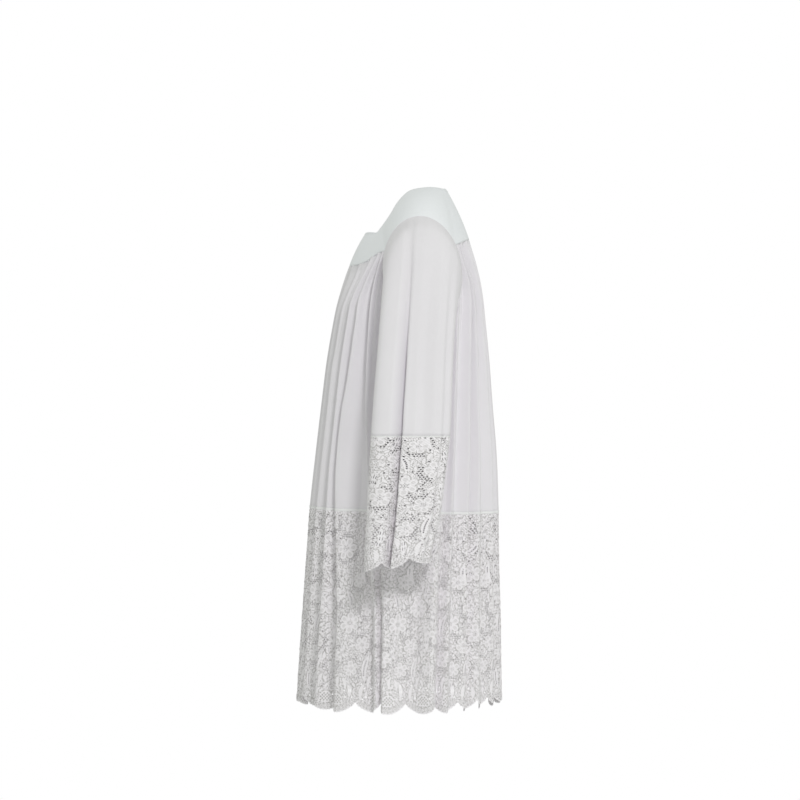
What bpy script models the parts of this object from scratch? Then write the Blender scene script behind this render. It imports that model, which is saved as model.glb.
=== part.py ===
"""A lace surplice as it hangs when worn: yoke, pleated front and back, sleeves and lace borders.

Its front faces -Y, its left sleeve lies towards +X, and +Z is up. The origin is the place inside the yoke
where it is held up. Sizes are in metres. Each piece is a thin wall of cloth: a grid of points, read from
a few tables, which then gets its thickness.
"""

import math

import bmesh
import bpy
import numpy as np

# Driving dimensions
CLOTH = 0.0015          # wall of a piece, a plain cloth with its turned seams
SEAM = 0.00025          # each piece stops this far short of its seam line
TURNED_SEAM = 0.0006    # and this far where the cloth turns a corner at the seam
ARMHOLE_STEP = 0.0014   # the sleeve starts this far outside the panels' edge at the armhole
LACE_SEAM_FRONT = -0.601  # height of the seam above the lace flounce, at the centre front
LACE_SEAM_BACK = -0.610   # and at the centre back
HEM_NOTCH = -0.957      # height of the notches between two scallops
SCALLOP_DROP = 0.018    # the scallop's tip hangs this far below its notches
CUFF_NOTCH = -0.699     # the same on the sleeve's border
CUFF_DROP = 0.014
CUFF_RISE_BACK = 0.020  # the border's edge is square to the sleeve, so its back is higher
SCALLOP_FULLNESS = 0.8  # 1 is a half wave, and less is rounder with sharper notches

# Lace
FRONT_SCALLOPS = 14     # on the front length of the lace at the hem
BACK_SCALLOPS = 13      # and on its back one
CUFF_SCALLOPS_OUTER = 3  # on the outer length of a sleeve's border
CUFF_SCALLOPS_INNER = 2
CUFF_SEAM_ANGLE = 108.0  # the border's two seams, either way from the sleeve's outermost line
GAP_WIDTH = 0.008
GAP_HEIGHT = 0.014
GAP_LEAN = 0.006        # the two gaps of a scallop lean towards each other or apart, by turns
GAP_PLACE = 0.24        # and lie this share of the scallop's width in from its notches
HEM_GAP_ROWS = (0.052, 0.124, 0.196, 0.268)  # depth of each row of gaps under the seam
CUFF_GAP_ROWS = (0.050, 0.112, 0.172)

# Walls
YOKE_ROWS = 3
YOKE_CAP_COLUMNS = 11   # over each shoulder
PANEL_ROWS = 7          # closer together under the yoke
PANEL_ROW_SPREAD = 1.3
FOLD_STEPS = 4          # columns for each fold of a panel
SLEEVE_ROWS = 7
SLEEVE_COLUMNS = 24
CURVE_STEPS = 1500      # steps for measuring along the lace's edge
SEAM_STEPS = 101        # and along the yoke's seam

LINEN_WHITE = (0.80, 0.81, 0.83, 1.0)
LACE_WHITE = (0.74, 0.75, 0.77, 1.0)


class Table:
    """Rows of sizes under named columns, read along a smooth curve between the rows."""

    def __init__(self, columns, rows):
        self.columns = columns
        self.keys = np.array([row[0] for row in rows])
        self.values = np.array([row[1:] for row in rows])
        self.slopes = np.gradient(self.values, self.keys, axis=0)

    def __call__(self, name, key):
        column = self.columns.index(name) - 1
        rising = self.keys[0] < self.keys[-1]
        keys = self.keys if rising else self.keys[::-1]
        order = np.arange(len(keys)) if rising else np.arange(len(keys))[::-1]
        key = min(max(key, keys[0]), keys[-1])
        i = int(min(np.searchsorted(keys, key, side="right") - 1, len(keys) - 2))
        span = keys[i + 1] - keys[i]
        t = (key - keys[i]) / span
        low, high = order[i], order[i + 1]
        return float(
            (2 * t**3 - 3 * t**2 + 1) * self.values[low, column]
            + (t**3 - 2 * t**2 + t) * span * self.slopes[low, column]
            + (3 * t**2 - 2 * t**3) * self.values[high, column]
            + (t**3 - t**2) * span * self.slopes[high, column]
        )

    def point(self, key):
        """The point of a table that has the columns x, y and z."""
        return np.array([self(axis, key) for axis in "xyz"])


# The yoke's neck edge on the left, from the centre front over the shoulder to the centre back, and how far
# the yoke crowns outside it. The square neck's corner is at stations 3 and 4.
NECK = Table(
    ("station", "x", "y", "z", "crown"),
    (
        (0, 0.0000, -0.0945, -0.0735, 0.002),
        (1, 0.0360, -0.0895, -0.0740, 0.002),
        (2, 0.0600, -0.0800, -0.0755, 0.003),
        (3, 0.0690, -0.0755, -0.0765, 0.004),
        (4, 0.0735, -0.0710, -0.0740, 0.005),
        (5, 0.0755, -0.0610, -0.0610, 0.006),
        (6, 0.0780, -0.0460, -0.0400, 0.008),
        (7, 0.0800, -0.0320, -0.0170, 0.010),
        (8, 0.0800, -0.0110, 0.0030, 0.011),
        (9, 0.0790, 0.0190, 0.0095, 0.011),
        (10, 0.0700, 0.0400, 0.0098, 0.009),
        (11, 0.0550, 0.0520, 0.0085, 0.007),
        (12, 0.0300, 0.0585, 0.0092, 0.004),
        (13, 0.0000, 0.0600, 0.0097, 0.003),
    ),
)

# The seams where the front and back panels are sewn to the yoke. Between stations 5 and 11 it is the armhole.
YOKE_EDGE = Table(
    ("station", "x", "y", "z"),
    (
        (0, 0.000, -0.1255, -0.1350),
        (1, 0.050, -0.1210, -0.1360),
        (2, 0.085, -0.1100, -0.1355),
        (3, 0.114, -0.0930, -0.1300),
        (4, 0.143, -0.0710, -0.1160),
        (5, 0.169, -0.0560, -0.1120),
        (11, 0.171, 0.0780, -0.1010),
        (12, 0.095, 0.0985, -0.0880),
        (13, 0.000, 0.1035, -0.0850),
    ),
)
FRONT_CORNER = 5        # the stations where the yoke's seam meets the armhole
BACK_CORNER = 11
LAST_STATION = 13
CHEST = np.array((0.0, 0.005, -0.160))  # the yoke crowns away from here

# The armhole, by the angle from its top, positive towards the back: how far out from the centre line it lies
ARMHOLE = Table(
    ("angle", "reach"),
    (
        (-180.0, 0.1895),
        (-150.0, 0.1880),
        (-130.0, 0.1840),
        (-110.0, 0.1775),
        (-90.0, 0.1700),
        (-66.0, 0.1680),
        (-40.0, 0.1790),
        (-20.0, 0.1855),
        (0.0, 0.1880),
        (20.0, 0.1870),
        (40.0, 0.1805),
        (59.0, 0.1705),
        (90.0, 0.1665),
        (110.0, 0.1715),
        (130.0, 0.1785),
        (150.0, 0.1850),
        (180.0, 0.1895),
    ),
)
ARMHOLE_MIDDLE_Y = 0.0135
ARMHOLE_MIDDLE_Z = -0.155
ARMHOLE_HALF_DEPTH = 0.0745
ARMHOLE_HALF_HEIGHT = 0.104
ARMHOLE_LEAN = 0.006    # its top lies this much further forward
ARMHOLE_FRONT_CORNER = -66.0
ARMHOLE_BACK_CORNER = 59.0

# The outline of the hanging cloth at the crests of its folds, by height. Square is the outline's roundness in
# front and behind: 2 is an ellipse, and more is squarer, as where the cloth hangs straight from the yoke.
BODY = Table(
    ("height", "front", "back", "half_width", "square_front", "square_back"),
    (
        (-0.080, -0.1020, 0.1020, 0.164, 2.60, 4.00),
        (-0.140, -0.1310, 0.1195, 0.171, 2.60, 3.90),
        (-0.200, -0.1480, 0.1308, 0.180, 2.55, 3.60),
        (-0.250, -0.1580, 0.1362, 0.188, 2.50, 3.30),
        (-0.320, -0.1700, 0.1430, 0.200, 2.40, 3.00),
        (-0.400, -0.1800, 0.1490, 0.214, 2.30, 2.70),
        (-0.500, -0.1918, 0.1572, 0.230, 2.20, 2.45),
        (-0.605, -0.2032, 0.1610, 0.246, 2.10, 2.30),
        (-0.700, -0.2102, 0.1622, 0.262, 2.05, 2.20),
        (-0.800, -0.2172, 0.1650, 0.286, 2.00, 2.10),
        (-0.900, -0.2240, 0.1664, 0.312, 2.00, 2.05),
        (-0.980, -0.2292, 0.1680, 0.332, 2.00, 2.00),
    ),
)

# Every fold round the garment, by its crest: where it is under the yoke and at the hem, in degrees from the
# centre front towards the left, and how deep it is under the yoke, at the lace seam and at the hem
FOLDS = Table(
    ("crest", "angle_yoke", "angle_hem", "depth_yoke", "depth_seam", "depth_hem"),
    (
        (0, 3.0, 3.0, 0.0050, 0.011, 0.024),
        (1, 14.5, 12.5, 0.0050, 0.008, 0.009),
        (2, 26.5, 21.5, 0.0055, 0.012, 0.022),
        (3, 39.0, 35.5, 0.0060, 0.014, 0.026),
        (4, 50.0, 50.5, 0.0060, 0.014, 0.027),
        (5, 61.0, 66.0, 0.0055, 0.012, 0.026),
        (6, 76.0, 80.5, 0.0030, 0.007, 0.026),
        (7, 105.0, 107.0, 0.0030, 0.008, 0.026),
        (8, 116.5, 116.0, 0.0035, 0.008, 0.011),
        (9, 132.0, 126.0, 0.0050, 0.013, 0.024),
        (10, 147.0, 139.0, 0.0060, 0.014, 0.026),
        (11, 161.0, 153.5, 0.0055, 0.012, 0.024),
        (12, 171.5, 166.5, 0.0050, 0.009, 0.012),
        (13, 178.2, 178.0, 0.0050, 0.012, 0.026),
        (14, 184.0, 191.0, 0.0055, 0.011, 0.023),
        (15, 193.5, 202.5, 0.0050, 0.009, 0.012),
        (16, 205.0, 215.0, 0.0060, 0.014, 0.027),
        (17, 216.5, 229.0, 0.0055, 0.013, 0.025),
        (18, 229.0, 240.0, 0.0050, 0.009, 0.013),
        (19, 244.5, 253.0, 0.0030, 0.008, 0.025),
        (20, 284.0, 278.5, 0.0030, 0.007, 0.026),
        (21, 298.5, 292.0, 0.0050, 0.012, 0.024),
        (22, 310.0, 306.0, 0.0060, 0.014, 0.027),
        (23, 321.5, 320.0, 0.0055, 0.013, 0.025),
        (24, 332.5, 333.5, 0.0055, 0.010, 0.021),
        (25, 343.0, 343.5, 0.0050, 0.008, 0.010),
        (26, 352.5, 352.5, 0.0050, 0.009, 0.016),
        (27, 363.0, 363.0, 0.0050, 0.011, 0.024),
    ),
)
FOLD_COUNT = 27
LEFT_SIDE_SEAM = 6.5    # the side seams lie in the troughs after these crests
RIGHT_SIDE_SEAM = 19.5
LEFT_CORNERS = (5.5, 8.5)     # the yoke's corners, front and back, as places among the folds
RIGHT_CORNERS = (20.5, 18.5)
YOKE_SEAM = -0.12       # height at which the table's angles under the yoke hold
PLEATS_SET = -0.10      # above here the pleats have their depth under the yoke
PLEATS_HALFWAY = -0.25  # and here half of what they gain by the lace seam
CREST_SHARPNESS_YOKE = 3.0  # above 2, a crest is broad and its trough narrow, as a pressed pleat is
CREST_SHARPNESS_HEM = 2.0
PLEAT_RELEASE = 0.10    # depth of cloth over which a panel leaves the line of its seam
PLEAT_KEPT = 0.35       # share of a pleat's depth that is left in the seam

# The sleeve, ring by ring from the armhole, with its outer and inner points and its reach front and back.
# Rings 0 to 7 are cloth, and 7 to 10 the lace border.
SLEEVE = Table(
    ("ring", "outer_x", "outer_z", "inner_x", "inner_z", "front", "back"),
    (
        (0, 0.188, -0.051, 0.188, -0.259, -0.0610, 0.0880),
        (1, 0.214, -0.070, 0.197, -0.265, -0.0600, 0.0850),
        (2, 0.235, -0.103, 0.204, -0.279, -0.0605, 0.0810),
        (3, 0.252, -0.152, 0.211, -0.302, -0.0625, 0.0770),
        (4, 0.268, -0.215, 0.219, -0.334, -0.0665, 0.0730),
        (5, 0.284, -0.290, 0.228, -0.373, -0.0715, 0.0695),
        (6, 0.305, -0.375, 0.237, -0.417, -0.0775, 0.0670),
        (7, 0.326, -0.462, 0.246, -0.462, -0.0825, 0.0636),
        (8, 0.347, -0.541, 0.256, -0.541, -0.0865, 0.0545),
        (9, 0.368, -0.620, 0.266, -0.620, -0.0905, 0.0450),
        (10, 0.388, -0.699, 0.276, -0.699, -0.0950, 0.0280),
    ),
)
LACE_RING = 7
CUFF_RING = 10

# The troughs down each sleeve, by their angle from the outermost line, positive towards the back
SLEEVE_TROUGHS_LEFT = (
    # angle, half width, depth, ring where it starts, ring where it is deepest
    (-14.0, 26.0, 0.019, 1.5, 8.0),
    (24.0, 20.0, 0.007, 1.0, 4.0),
    (112.0, 26.0, 0.013, 3.0, 8.0),
    (-128.0, 26.0, 0.013, 4.0, 9.0),
)
SLEEVE_TROUGHS_RIGHT = (
    (-20.0, 25.0, 0.017, 2.0, 8.0),
    (22.0, 22.0, 0.009, 1.0, 5.0),
    (104.0, 26.0, 0.012, 3.5, 8.0),
    (-136.0, 26.0, 0.013, 3.0, 9.0),
)


def armhole(angle):
    """A point of the left armhole."""
    turn = math.radians(angle)
    return np.array((
        ARMHOLE("reach", (angle + 180) % 360 - 180),
        ARMHOLE_MIDDLE_Y + ARMHOLE_HALF_DEPTH * math.sin(turn) - ARMHOLE_LEAN * math.cos(turn),
        ARMHOLE_MIDDLE_Z + ARMHOLE_HALF_HEIGHT * math.cos(turn),
    ))


def yoke_seam(station):
    """The yoke's outer edge on the left, at a station."""
    if FRONT_CORNER <= station <= BACK_CORNER:
        share = (station - FRONT_CORNER) / (BACK_CORNER - FRONT_CORNER)
        return armhole(ARMHOLE_FRONT_CORNER + share * (ARMHOLE_BACK_CORNER - ARMHOLE_FRONT_CORNER))
    corner = FRONT_CORNER if station < FRONT_CORNER else BACK_CORNER
    # the table's corner is rounded to a millimetre, so the last stretch is led onto the armhole
    lead = max(0.0, 1.0 - abs(station - corner))
    return YOKE_EDGE.point(station) + lead * (yoke_seam(corner) - YOKE_EDGE.point(corner))


def yoke_point(station, row):
    """A point of the yoke on the left: row runs from 0 at the neck to 1 at the seam."""
    neck = NECK.point(station)
    point = neck + row * (yoke_seam(station) - neck)
    away = point - CHEST
    return point + away / np.linalg.norm(away) * NECK("crown", station) * 4 * row * (1 - row)


def outline(height, angle):
    """The crest outline's point and its outward direction, at a height and an angle from the front."""
    front, back = BODY("front", height), BODY("back", height)
    half_depth, half_width = (back - front) / 2, BODY("half_width", height)
    turn = math.radians(angle)
    square = BODY("square_front" if math.cos(turn) > 0 else "square_back", height)
    x = math.copysign(abs(math.sin(turn)) ** (2 / square), math.sin(turn))
    y = math.copysign(abs(math.cos(turn)) ** (2 / square), -math.cos(turn))
    point = np.array((half_width * x, (front + back) / 2 + half_depth * y, height))
    slope_x = math.copysign(abs(x) ** (square - 1), x) * half_depth
    slope_y = math.copysign(abs(y) ** (square - 1), y) * half_width
    return point, np.array((slope_x, slope_y, 0.0)) / math.hypot(slope_x, slope_y)


def lace_seam(angle):
    """Height of the seam between a panel and its lace."""
    return LACE_SEAM_BACK + (LACE_SEAM_FRONT - LACE_SEAM_BACK) * (1 + math.cos(math.radians(angle))) / 2


def fold_angle(crest, height):
    """Where a fold's crest, or the cloth between two, lies round the body at a height."""
    crest, turns = crest % FOLD_COUNT, crest // FOLD_COUNT
    share = min(max((height - YOKE_SEAM) / (HEM_NOTCH - YOKE_SEAM), 0.0), 1.0)
    top, hem = FOLDS("angle_yoke", crest), FOLDS("angle_hem", crest)
    return top + (hem - top) * share + 360 * turns


def fold_depth(crest, height):
    """How deep the fold is at a height."""
    crest = crest % FOLD_COUNT
    marks = (HEM_NOTCH, LACE_SEAM_BACK, PLEATS_HALFWAY, PLEATS_SET)
    yoke, seam, hem = (FOLDS("depth_" + name, crest) for name in ("yoke", "seam", "hem"))
    return float(np.interp(height, marks, (hem, seam, (yoke + seam) / 2, yoke)))


def cloth(crest, height):
    """A point of the folded cloth round the body. A whole number is a crest, and a half is a trough."""
    point, out = outline(height, fold_angle(crest, height))
    share = min(max((height - YOKE_SEAM) / (LACE_SEAM_BACK - YOKE_SEAM), 0.0), 1.0)
    sharpness = CREST_SHARPNESS_YOKE + (CREST_SHARPNESS_HEM - CREST_SHARPNESS_YOKE) * share
    sink = abs(math.sin(math.pi * crest)) ** sharpness
    return point - out * fold_depth(crest, height) * sink


def top_place(crest):
    """Where a panel's top edge is at a fold: a station of the yoke or an angle of the armhole, and the side."""
    crest = crest % FOLD_COUNT
    left = fold_angle(crest, YOKE_SEAM) <= 180
    seam, corners = (LEFT_SIDE_SEAM, LEFT_CORNERS) if left else (RIGHT_SIDE_SEAM, RIGHT_CORNERS)
    bearing, front, side, back = (
        fold_angle(mark, YOKE_SEAM) if left else 360 - fold_angle(mark, YOKE_SEAM)
        for mark in (crest, corners[0], seam, corners[1])
    )
    hand = 1 if left else -1
    if bearing <= front:
        return "yoke", seam_station(bearing, front, 0, FRONT_CORNER), hand
    if bearing >= back:
        return "yoke", seam_station(bearing, back, LAST_STATION, BACK_CORNER), hand
    if bearing <= side:
        share = (bearing - front) / (side - front)
        return "armhole", ARMHOLE_FRONT_CORNER + share * (-180 - ARMHOLE_FRONT_CORNER), hand
    share = (back - bearing) / (back - side)
    return "armhole", ARMHOLE_BACK_CORNER + share * (180 - ARMHOLE_BACK_CORNER), hand


def seam_station(bearing, corner_bearing, middle, corner):
    """The yoke's station as far out along its front or back seam as the panel is at this bearing."""
    share = outline(YOKE_SEAM, bearing)[0][0] / outline(YOKE_SEAM, corner_bearing)[0][0]
    stations = np.linspace(middle, corner, SEAM_STEPS)
    widths = [yoke_seam(station)[0] for station in stations]
    return float(np.interp(share * widths[-1], widths, stations))


def panel_top(crest):
    """The line where a panel is sewn to the yoke, or, past its corners, the armhole's edge."""
    kind, place, side = top_place(crest)
    point = yoke_seam(place) if kind == "yoke" else armhole(place)
    return point * (side, 1, 1)


def panel_point(crest, row):
    """A point of the front or back panel: row runs from 0 at its top to 1 at the lace seam."""
    top = panel_top(crest)
    bottom = lace_seam(fold_angle(crest, LACE_SEAM_BACK))
    height = top[2] + (bottom - top[2]) * row
    hang = cloth(crest, height)
    release = max(0.0, 1.0 - (top[2] - height) / PLEAT_RELEASE)
    pull = release**2 * (3 - 2 * release)
    lead = top - cloth(crest, top[2])
    pleat = fold_depth(crest, top[2]) * abs(math.sin(math.pi * crest)) ** CREST_SHARPNESS_YOKE
    out = outline(height, fold_angle(crest, height))[1]
    return hang + pull * (lead - out * pleat * PLEAT_KEPT)


def lace_point(crest, row, drop):
    """A point of the lace flounce: row runs from 0 at its seam to 1 at the notches, drop is the scallop's."""
    top = lace_seam(fold_angle(crest, LACE_SEAM_BACK))
    return cloth(crest, top + (HEM_NOTCH - drop - top) * row)


def sleeve_point(ring, angle, troughs, rise=0.0):
    """A point of the left sleeve, at a ring and an angle from its outermost line."""
    turn = math.radians(angle)
    outer = np.array((SLEEVE("outer_x", ring), 0.0, SLEEVE("outer_z", ring)))
    inner = np.array((SLEEVE("inner_x", ring), 0.0, SLEEVE("inner_z", ring)))
    front, back = SLEEVE("front", ring), SLEEVE("back", ring)
    middle = (outer + inner) / 2 + np.array((0.0, (front + back) / 2, 0.0))
    across, along = (outer - inner) / 2, np.array((0.0, (back - front) / 2, 0.0))
    depth = 0.0
    for trough_angle, half_width, most, start, full in troughs:
        off = (angle - trough_angle + 180) % 360 - 180
        grown = min(max((ring - start) / (full - start), 0.0), 1.0)
        if abs(off) < half_width:
            depth += most * grown * (1 + math.cos(math.pi * off / half_width)) / 2
    shrink = 1 - depth / np.linalg.norm(across * math.cos(turn) + along * math.sin(turn))
    point = middle + (across * math.cos(turn) + along * math.sin(turn)) * shrink
    point[2] += rise
    if ring < 1.0:
        # the first ring follows the armhole, a little outside it
        under = (1 - math.cos(turn)) / 2
        step = SEAM + (ARMHOLE_STEP - SEAM) * min(1.0, 4 * under)
        start = armhole(angle) + np.array((step, 0.0, 0.0))
        point = start + (point - start) * ring
    return point


def cuff_rise(angle):
    """How much higher the border's edge is towards the sleeve's back."""
    return CUFF_RISE_BACK * (1 + math.sin(math.radians(angle))) / 2


def scallop(share):
    """The scallop's drop, from 0 at its notches to 1 at its tip."""
    return math.sin(math.pi * (share % 1.0)) ** SCALLOP_FULLNESS


def inset(grid, top=0.0, bottom=0.0, sides=0.0):
    """Moves a grid's edges in along the cloth, so that it stops short of its seams."""

    def move(edge, inner, distance):
        step = inner - edge
        return edge + step / np.linalg.norm(step, axis=-1, keepdims=True) * distance

    if top:
        grid[0] = move(grid[0], grid[1], top)
    if bottom:
        grid[-1] = move(grid[-1], grid[-2], bottom)
    if sides:
        grid[:, 0] = move(grid[:, 0], grid[:, 1], sides)
        grid[:, -1] = move(grid[:, -1], grid[:, -2], sides)
    return grid


def cloth_wall(name, grid, material, closed=False, gaps=()):
    """Makes a piece from its grid of points, row by row, with the cells in gaps left open."""
    rows, columns = grid.shape[:2]
    mesh = bpy.data.meshes.new(name)
    work = bmesh.new()
    points = [[work.verts.new(grid[i, j]) for j in range(columns)] for i in range(rows)]
    for i in range(rows - 1):
        for j in range(columns if closed else columns - 1):
            if (i, j) in gaps:
                continue
            k = (j + 1) % columns
            work.faces.new((points[i][j], points[i + 1][j], points[i + 1][k], points[i][k]))
    bmesh.ops.triangulate(work, faces=work.faces[:], quad_method="SHORT_EDGE")
    work.to_mesh(mesh)
    work.free()
    mesh.shade_smooth()
    mesh.materials.append(material)
    piece = bpy.data.objects.new(name, mesh)
    bpy.data.collections["Lace surplice"].objects.link(piece)
    wall = piece.modifiers.new("Cloth thickness", "SOLIDIFY")
    wall.thickness = CLOTH
    wall.offset = 0.0
    return piece


def cloth_material(name, colour, roughness):
    """A plain cloth finish."""
    material = bpy.data.materials.new(name)
    material.use_nodes = True
    shader = material.node_tree.nodes["Principled BSDF"]
    shader.inputs["Base Color"].default_value = colour
    shader.inputs["Roughness"].default_value = roughness
    shader.inputs["Metallic"].default_value = 0.0
    return material


def panel_crests(first, last):
    """The columns of a panel, as places among the folds."""
    count = round((last - first) * FOLD_STEPS)
    return [first + (last - first) * i / count for i in range(count + 1)]


def build_yoke(front, back, material):
    """One piece over both shoulders, with a column at each column of the panels sewn to it."""
    cap = np.linspace(FRONT_CORNER, BACK_CORNER, YOKE_CAP_COLUMNS + 1)[1:-1]
    loop = []
    for panel, shoulder in ((front, [(s, 1) for s in cap]), (back, [(s, -1) for s in cap[::-1]])):
        places = [top_place(crest) for crest in panel_crests(*panel)]
        loop += [(station, side) for kind, station, side in places if kind == "yoke"] + shoulder
    grid = np.array([
        [yoke_point(station, row / YOKE_ROWS) * (side, 1, 1) for station, side in loop]
        for row in range(YOKE_ROWS + 1)
    ])
    cloth_wall("yoke", inset(grid, bottom=SEAM), material, closed=True)


def build_panel(name, first, last, material):
    """The front or back panel, between two side seams."""
    crests = panel_crests(first, last)
    rows = [(i / PANEL_ROWS) ** PANEL_ROW_SPREAD for i in range(PANEL_ROWS + 1)]
    grid = np.array([[panel_point(crest, row) for crest in crests] for row in rows])
    cloth_wall(name, inset(grid, top=TURNED_SEAM, bottom=SEAM, sides=SEAM), material)


def even_steps(point_at, first, last, shares):
    """The values between first and last that lie at the given shares of the curve's length."""
    values = np.linspace(first, last, CURVE_STEPS)
    points = np.array([point_at(value) for value in values])
    run = np.concatenate(([0.0], np.cumsum(np.linalg.norm(np.diff(points, axis=0), axis=1))))
    return np.interp(np.array(shares) * run[-1], run, values), run[-1]


def lace_lines(scallops, length, depth, gap_rows):
    """The lace's cells: for each row its depth and its columns' shares of the length, and the open cells."""
    pitch = length / scallops
    depths = [0.0]
    for centre in gap_rows:
        depths += [centre - GAP_HEIGHT / 2, centre + GAP_HEIGHT / 2]
    depths.append(depth)
    shares, gaps = [], set()
    for i in range(len(depths)):
        inside = 0 < i < len(depths) - 1
        # the lines go in pairs, above and below a row of gaps, and every other row leans the other way
        lean = GAP_LEAN / 2 * (1 if i % 4 in (0, 1) else -1) if inside else 0.0
        line = [0.0]
        for number in range(scallops):
            for place, tilt, end in ((GAP_PLACE, lean, 0.5), (1 - GAP_PLACE, -lean, 1.0)):
                middle = (number + place) * pitch + tilt
                line += [middle - GAP_WIDTH / 2, middle + GAP_WIDTH / 2, (number + end) * pitch]
                if inside and i % 2:
                    gaps.add((i, len(line) - 3))
        shares.append([at / length for at in line])
    return depths, shares, gaps


def build_hem_lace(name, first, last, scallops, material):
    """A length of the lace flounce under a panel, scalloped at its edge."""

    def edge(crest):
        return cloth(crest, HEM_NOTCH)

    _, length = even_steps(edge, first, last, (1.0,))
    depth = LACE_SEAM_BACK - HEM_NOTCH
    depths, shares, gaps = lace_lines(scallops, length, depth, HEM_GAP_ROWS)
    grid = []
    for down, line in zip(depths, shares):
        crests, _ = even_steps(edge, first, last, line)
        at_edge = down == depths[-1]
        drops = [SCALLOP_DROP * scallop(share * scallops) if at_edge else 0.0 for share in line]
        grid.append([lace_point(crest, down / depth, drop) for crest, drop in zip(crests, drops)])
    cloth_wall(name, inset(np.array(grid), top=SEAM, sides=2 * TURNED_SEAM), material, gaps=gaps)


def build_sleeve(name, side, troughs, material):
    """A sleeve's cloth, a tube from the armhole to its lace."""
    angles = [360 * j / SLEEVE_COLUMNS for j in range(SLEEVE_COLUMNS)]
    rings = [LACE_RING * i / SLEEVE_ROWS for i in range(SLEEVE_ROWS + 1)]
    grid = np.array([[sleeve_point(ring, angle, troughs) for angle in angles] for ring in rings])
    grid[..., 0] *= side
    if side < 0:
        grid = grid[:, ::-1]
    cloth_wall(name, inset(grid, bottom=SEAM), material, closed=True)


def build_sleeve_lace(name, side, first, last, scallops, troughs, material):
    """One of the two lengths of a sleeve's border, between two angles round the sleeve."""

    def edge(angle):
        return sleeve_point(CUFF_RING, angle, troughs)

    _, length = even_steps(edge, first, last, (1.0,))
    depth = SLEEVE("outer_z", LACE_RING) - CUFF_NOTCH
    depths, shares, gaps = lace_lines(scallops, length, depth, CUFF_GAP_ROWS)
    grid = []
    for down, line in zip(depths, shares):
        angles, _ = even_steps(edge, first, last, line)
        ring = LACE_RING + (CUFF_RING - LACE_RING) * down / depth
        at_edge = down == depths[-1]
        row = []
        for angle, share in zip(angles, line):
            drop = CUFF_DROP * scallop(share * scallops) if at_edge else 0.0
            rise = cuff_rise(angle) * down / depth - drop
            row.append(sleeve_point(ring, angle, troughs, rise) * (side, 1, 1))
        grid.append(row)
    grid = np.array(grid)
    if side < 0:
        grid = grid[:, ::-1]
        gaps = {(i, grid.shape[1] - 2 - j) for i, j in gaps}
    cloth_wall(name, inset(grid, top=SEAM, sides=TURNED_SEAM), material, gaps=gaps)


def build():
    """Builds the whole surplice."""
    for old in list(bpy.data.objects):
        bpy.data.objects.remove(old)
    bpy.context.scene.collection.children.link(bpy.data.collections.new("Lace surplice"))
    linen = cloth_material("White plain weave cloth", LINEN_WHITE, 0.85)
    lace = cloth_material("White cotton lace", LACE_WHITE, 0.9)

    front = (RIGHT_SIDE_SEAM, LEFT_SIDE_SEAM + FOLD_COUNT)
    back = (LEFT_SIDE_SEAM, RIGHT_SIDE_SEAM)
    build_yoke(front, back, linen)
    build_panel("body_front", *front, linen)
    build_panel("body_back", *back, linen)
    build_hem_lace("hem_lace_front", *front, FRONT_SCALLOPS, lace)
    build_hem_lace("hem_lace_back", *back, BACK_SCALLOPS, lace)
    turn = CUFF_SEAM_ANGLE
    for word, side, troughs in (("left", 1, SLEEVE_TROUGHS_LEFT), ("right", -1, SLEEVE_TROUGHS_RIGHT)):
        build_sleeve("sleeve_" + word, side, troughs, linen)
        band = "sleeve_lace_" + word
        build_sleeve_lace(band + "_outer", side, -turn, turn, CUFF_SCALLOPS_OUTER, troughs, lace)
        build_sleeve_lace(band + "_inner", side, turn, 360 - turn, CUFF_SCALLOPS_INNER, troughs, lace)


build()
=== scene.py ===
"""The looks of the lace surplice: its cloth, its cut lace, its seams and stitching, and the plain studio.

Every piece lies on the form of its solid in the frame, from the same tables, with finer folds laid in. Sizes
are in metres where nothing else is said. The front faces -Y and the left sleeve lies towards +X.
"""

import math

import bmesh
import bpy
import numpy as np
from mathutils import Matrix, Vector
from mathutils.geometry import delaunay_2d_cdt
from mathutils.kdtree import KDTree


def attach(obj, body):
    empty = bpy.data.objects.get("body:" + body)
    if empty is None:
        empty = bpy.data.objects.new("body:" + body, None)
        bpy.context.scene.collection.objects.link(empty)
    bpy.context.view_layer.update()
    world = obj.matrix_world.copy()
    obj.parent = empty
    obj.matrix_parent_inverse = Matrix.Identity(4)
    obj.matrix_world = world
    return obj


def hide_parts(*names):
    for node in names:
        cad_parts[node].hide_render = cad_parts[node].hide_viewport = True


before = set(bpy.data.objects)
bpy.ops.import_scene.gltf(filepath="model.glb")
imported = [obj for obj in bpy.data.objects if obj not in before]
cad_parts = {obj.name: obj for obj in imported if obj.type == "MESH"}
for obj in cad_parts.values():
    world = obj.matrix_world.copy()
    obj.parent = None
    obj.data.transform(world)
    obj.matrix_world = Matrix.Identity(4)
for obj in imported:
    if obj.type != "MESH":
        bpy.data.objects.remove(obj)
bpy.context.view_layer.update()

MM = 0.001

# Sizes that the solids share
SEAM = 0.00025          # the sleeve starts this far outside the armhole at its top
ARMHOLE_STEP = 0.0014   # and this far lower down
LACE_SEAM_FRONT = -0.601    # height of the seam above the lace flounce, at the centre front
LACE_SEAM_BACK = -0.610     # and at the centre back
HEM_NOTCH = -0.957      # height of the notches between two scallops
CUFF_DROP = 0.014       # a cuff's scallop hangs this far below its notches
CUFF_RISE_BACK = 0.020  # the cuff's edge is square to the sleeve, so its back is higher
SCALLOP_FULLNESS = 0.8  # 1 is a half wave, and less is rounder with sharper notches
FRONT_SCALLOPS = 14
BACK_SCALLOPS = 13
CUFF_SCALLOPS_OUTER = 3
CUFF_SCALLOPS_INNER = 2
CUFF_SEAM_ANGLE = 108.0     # the cuff lace's two seams, either way from the sleeve's outermost line

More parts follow.
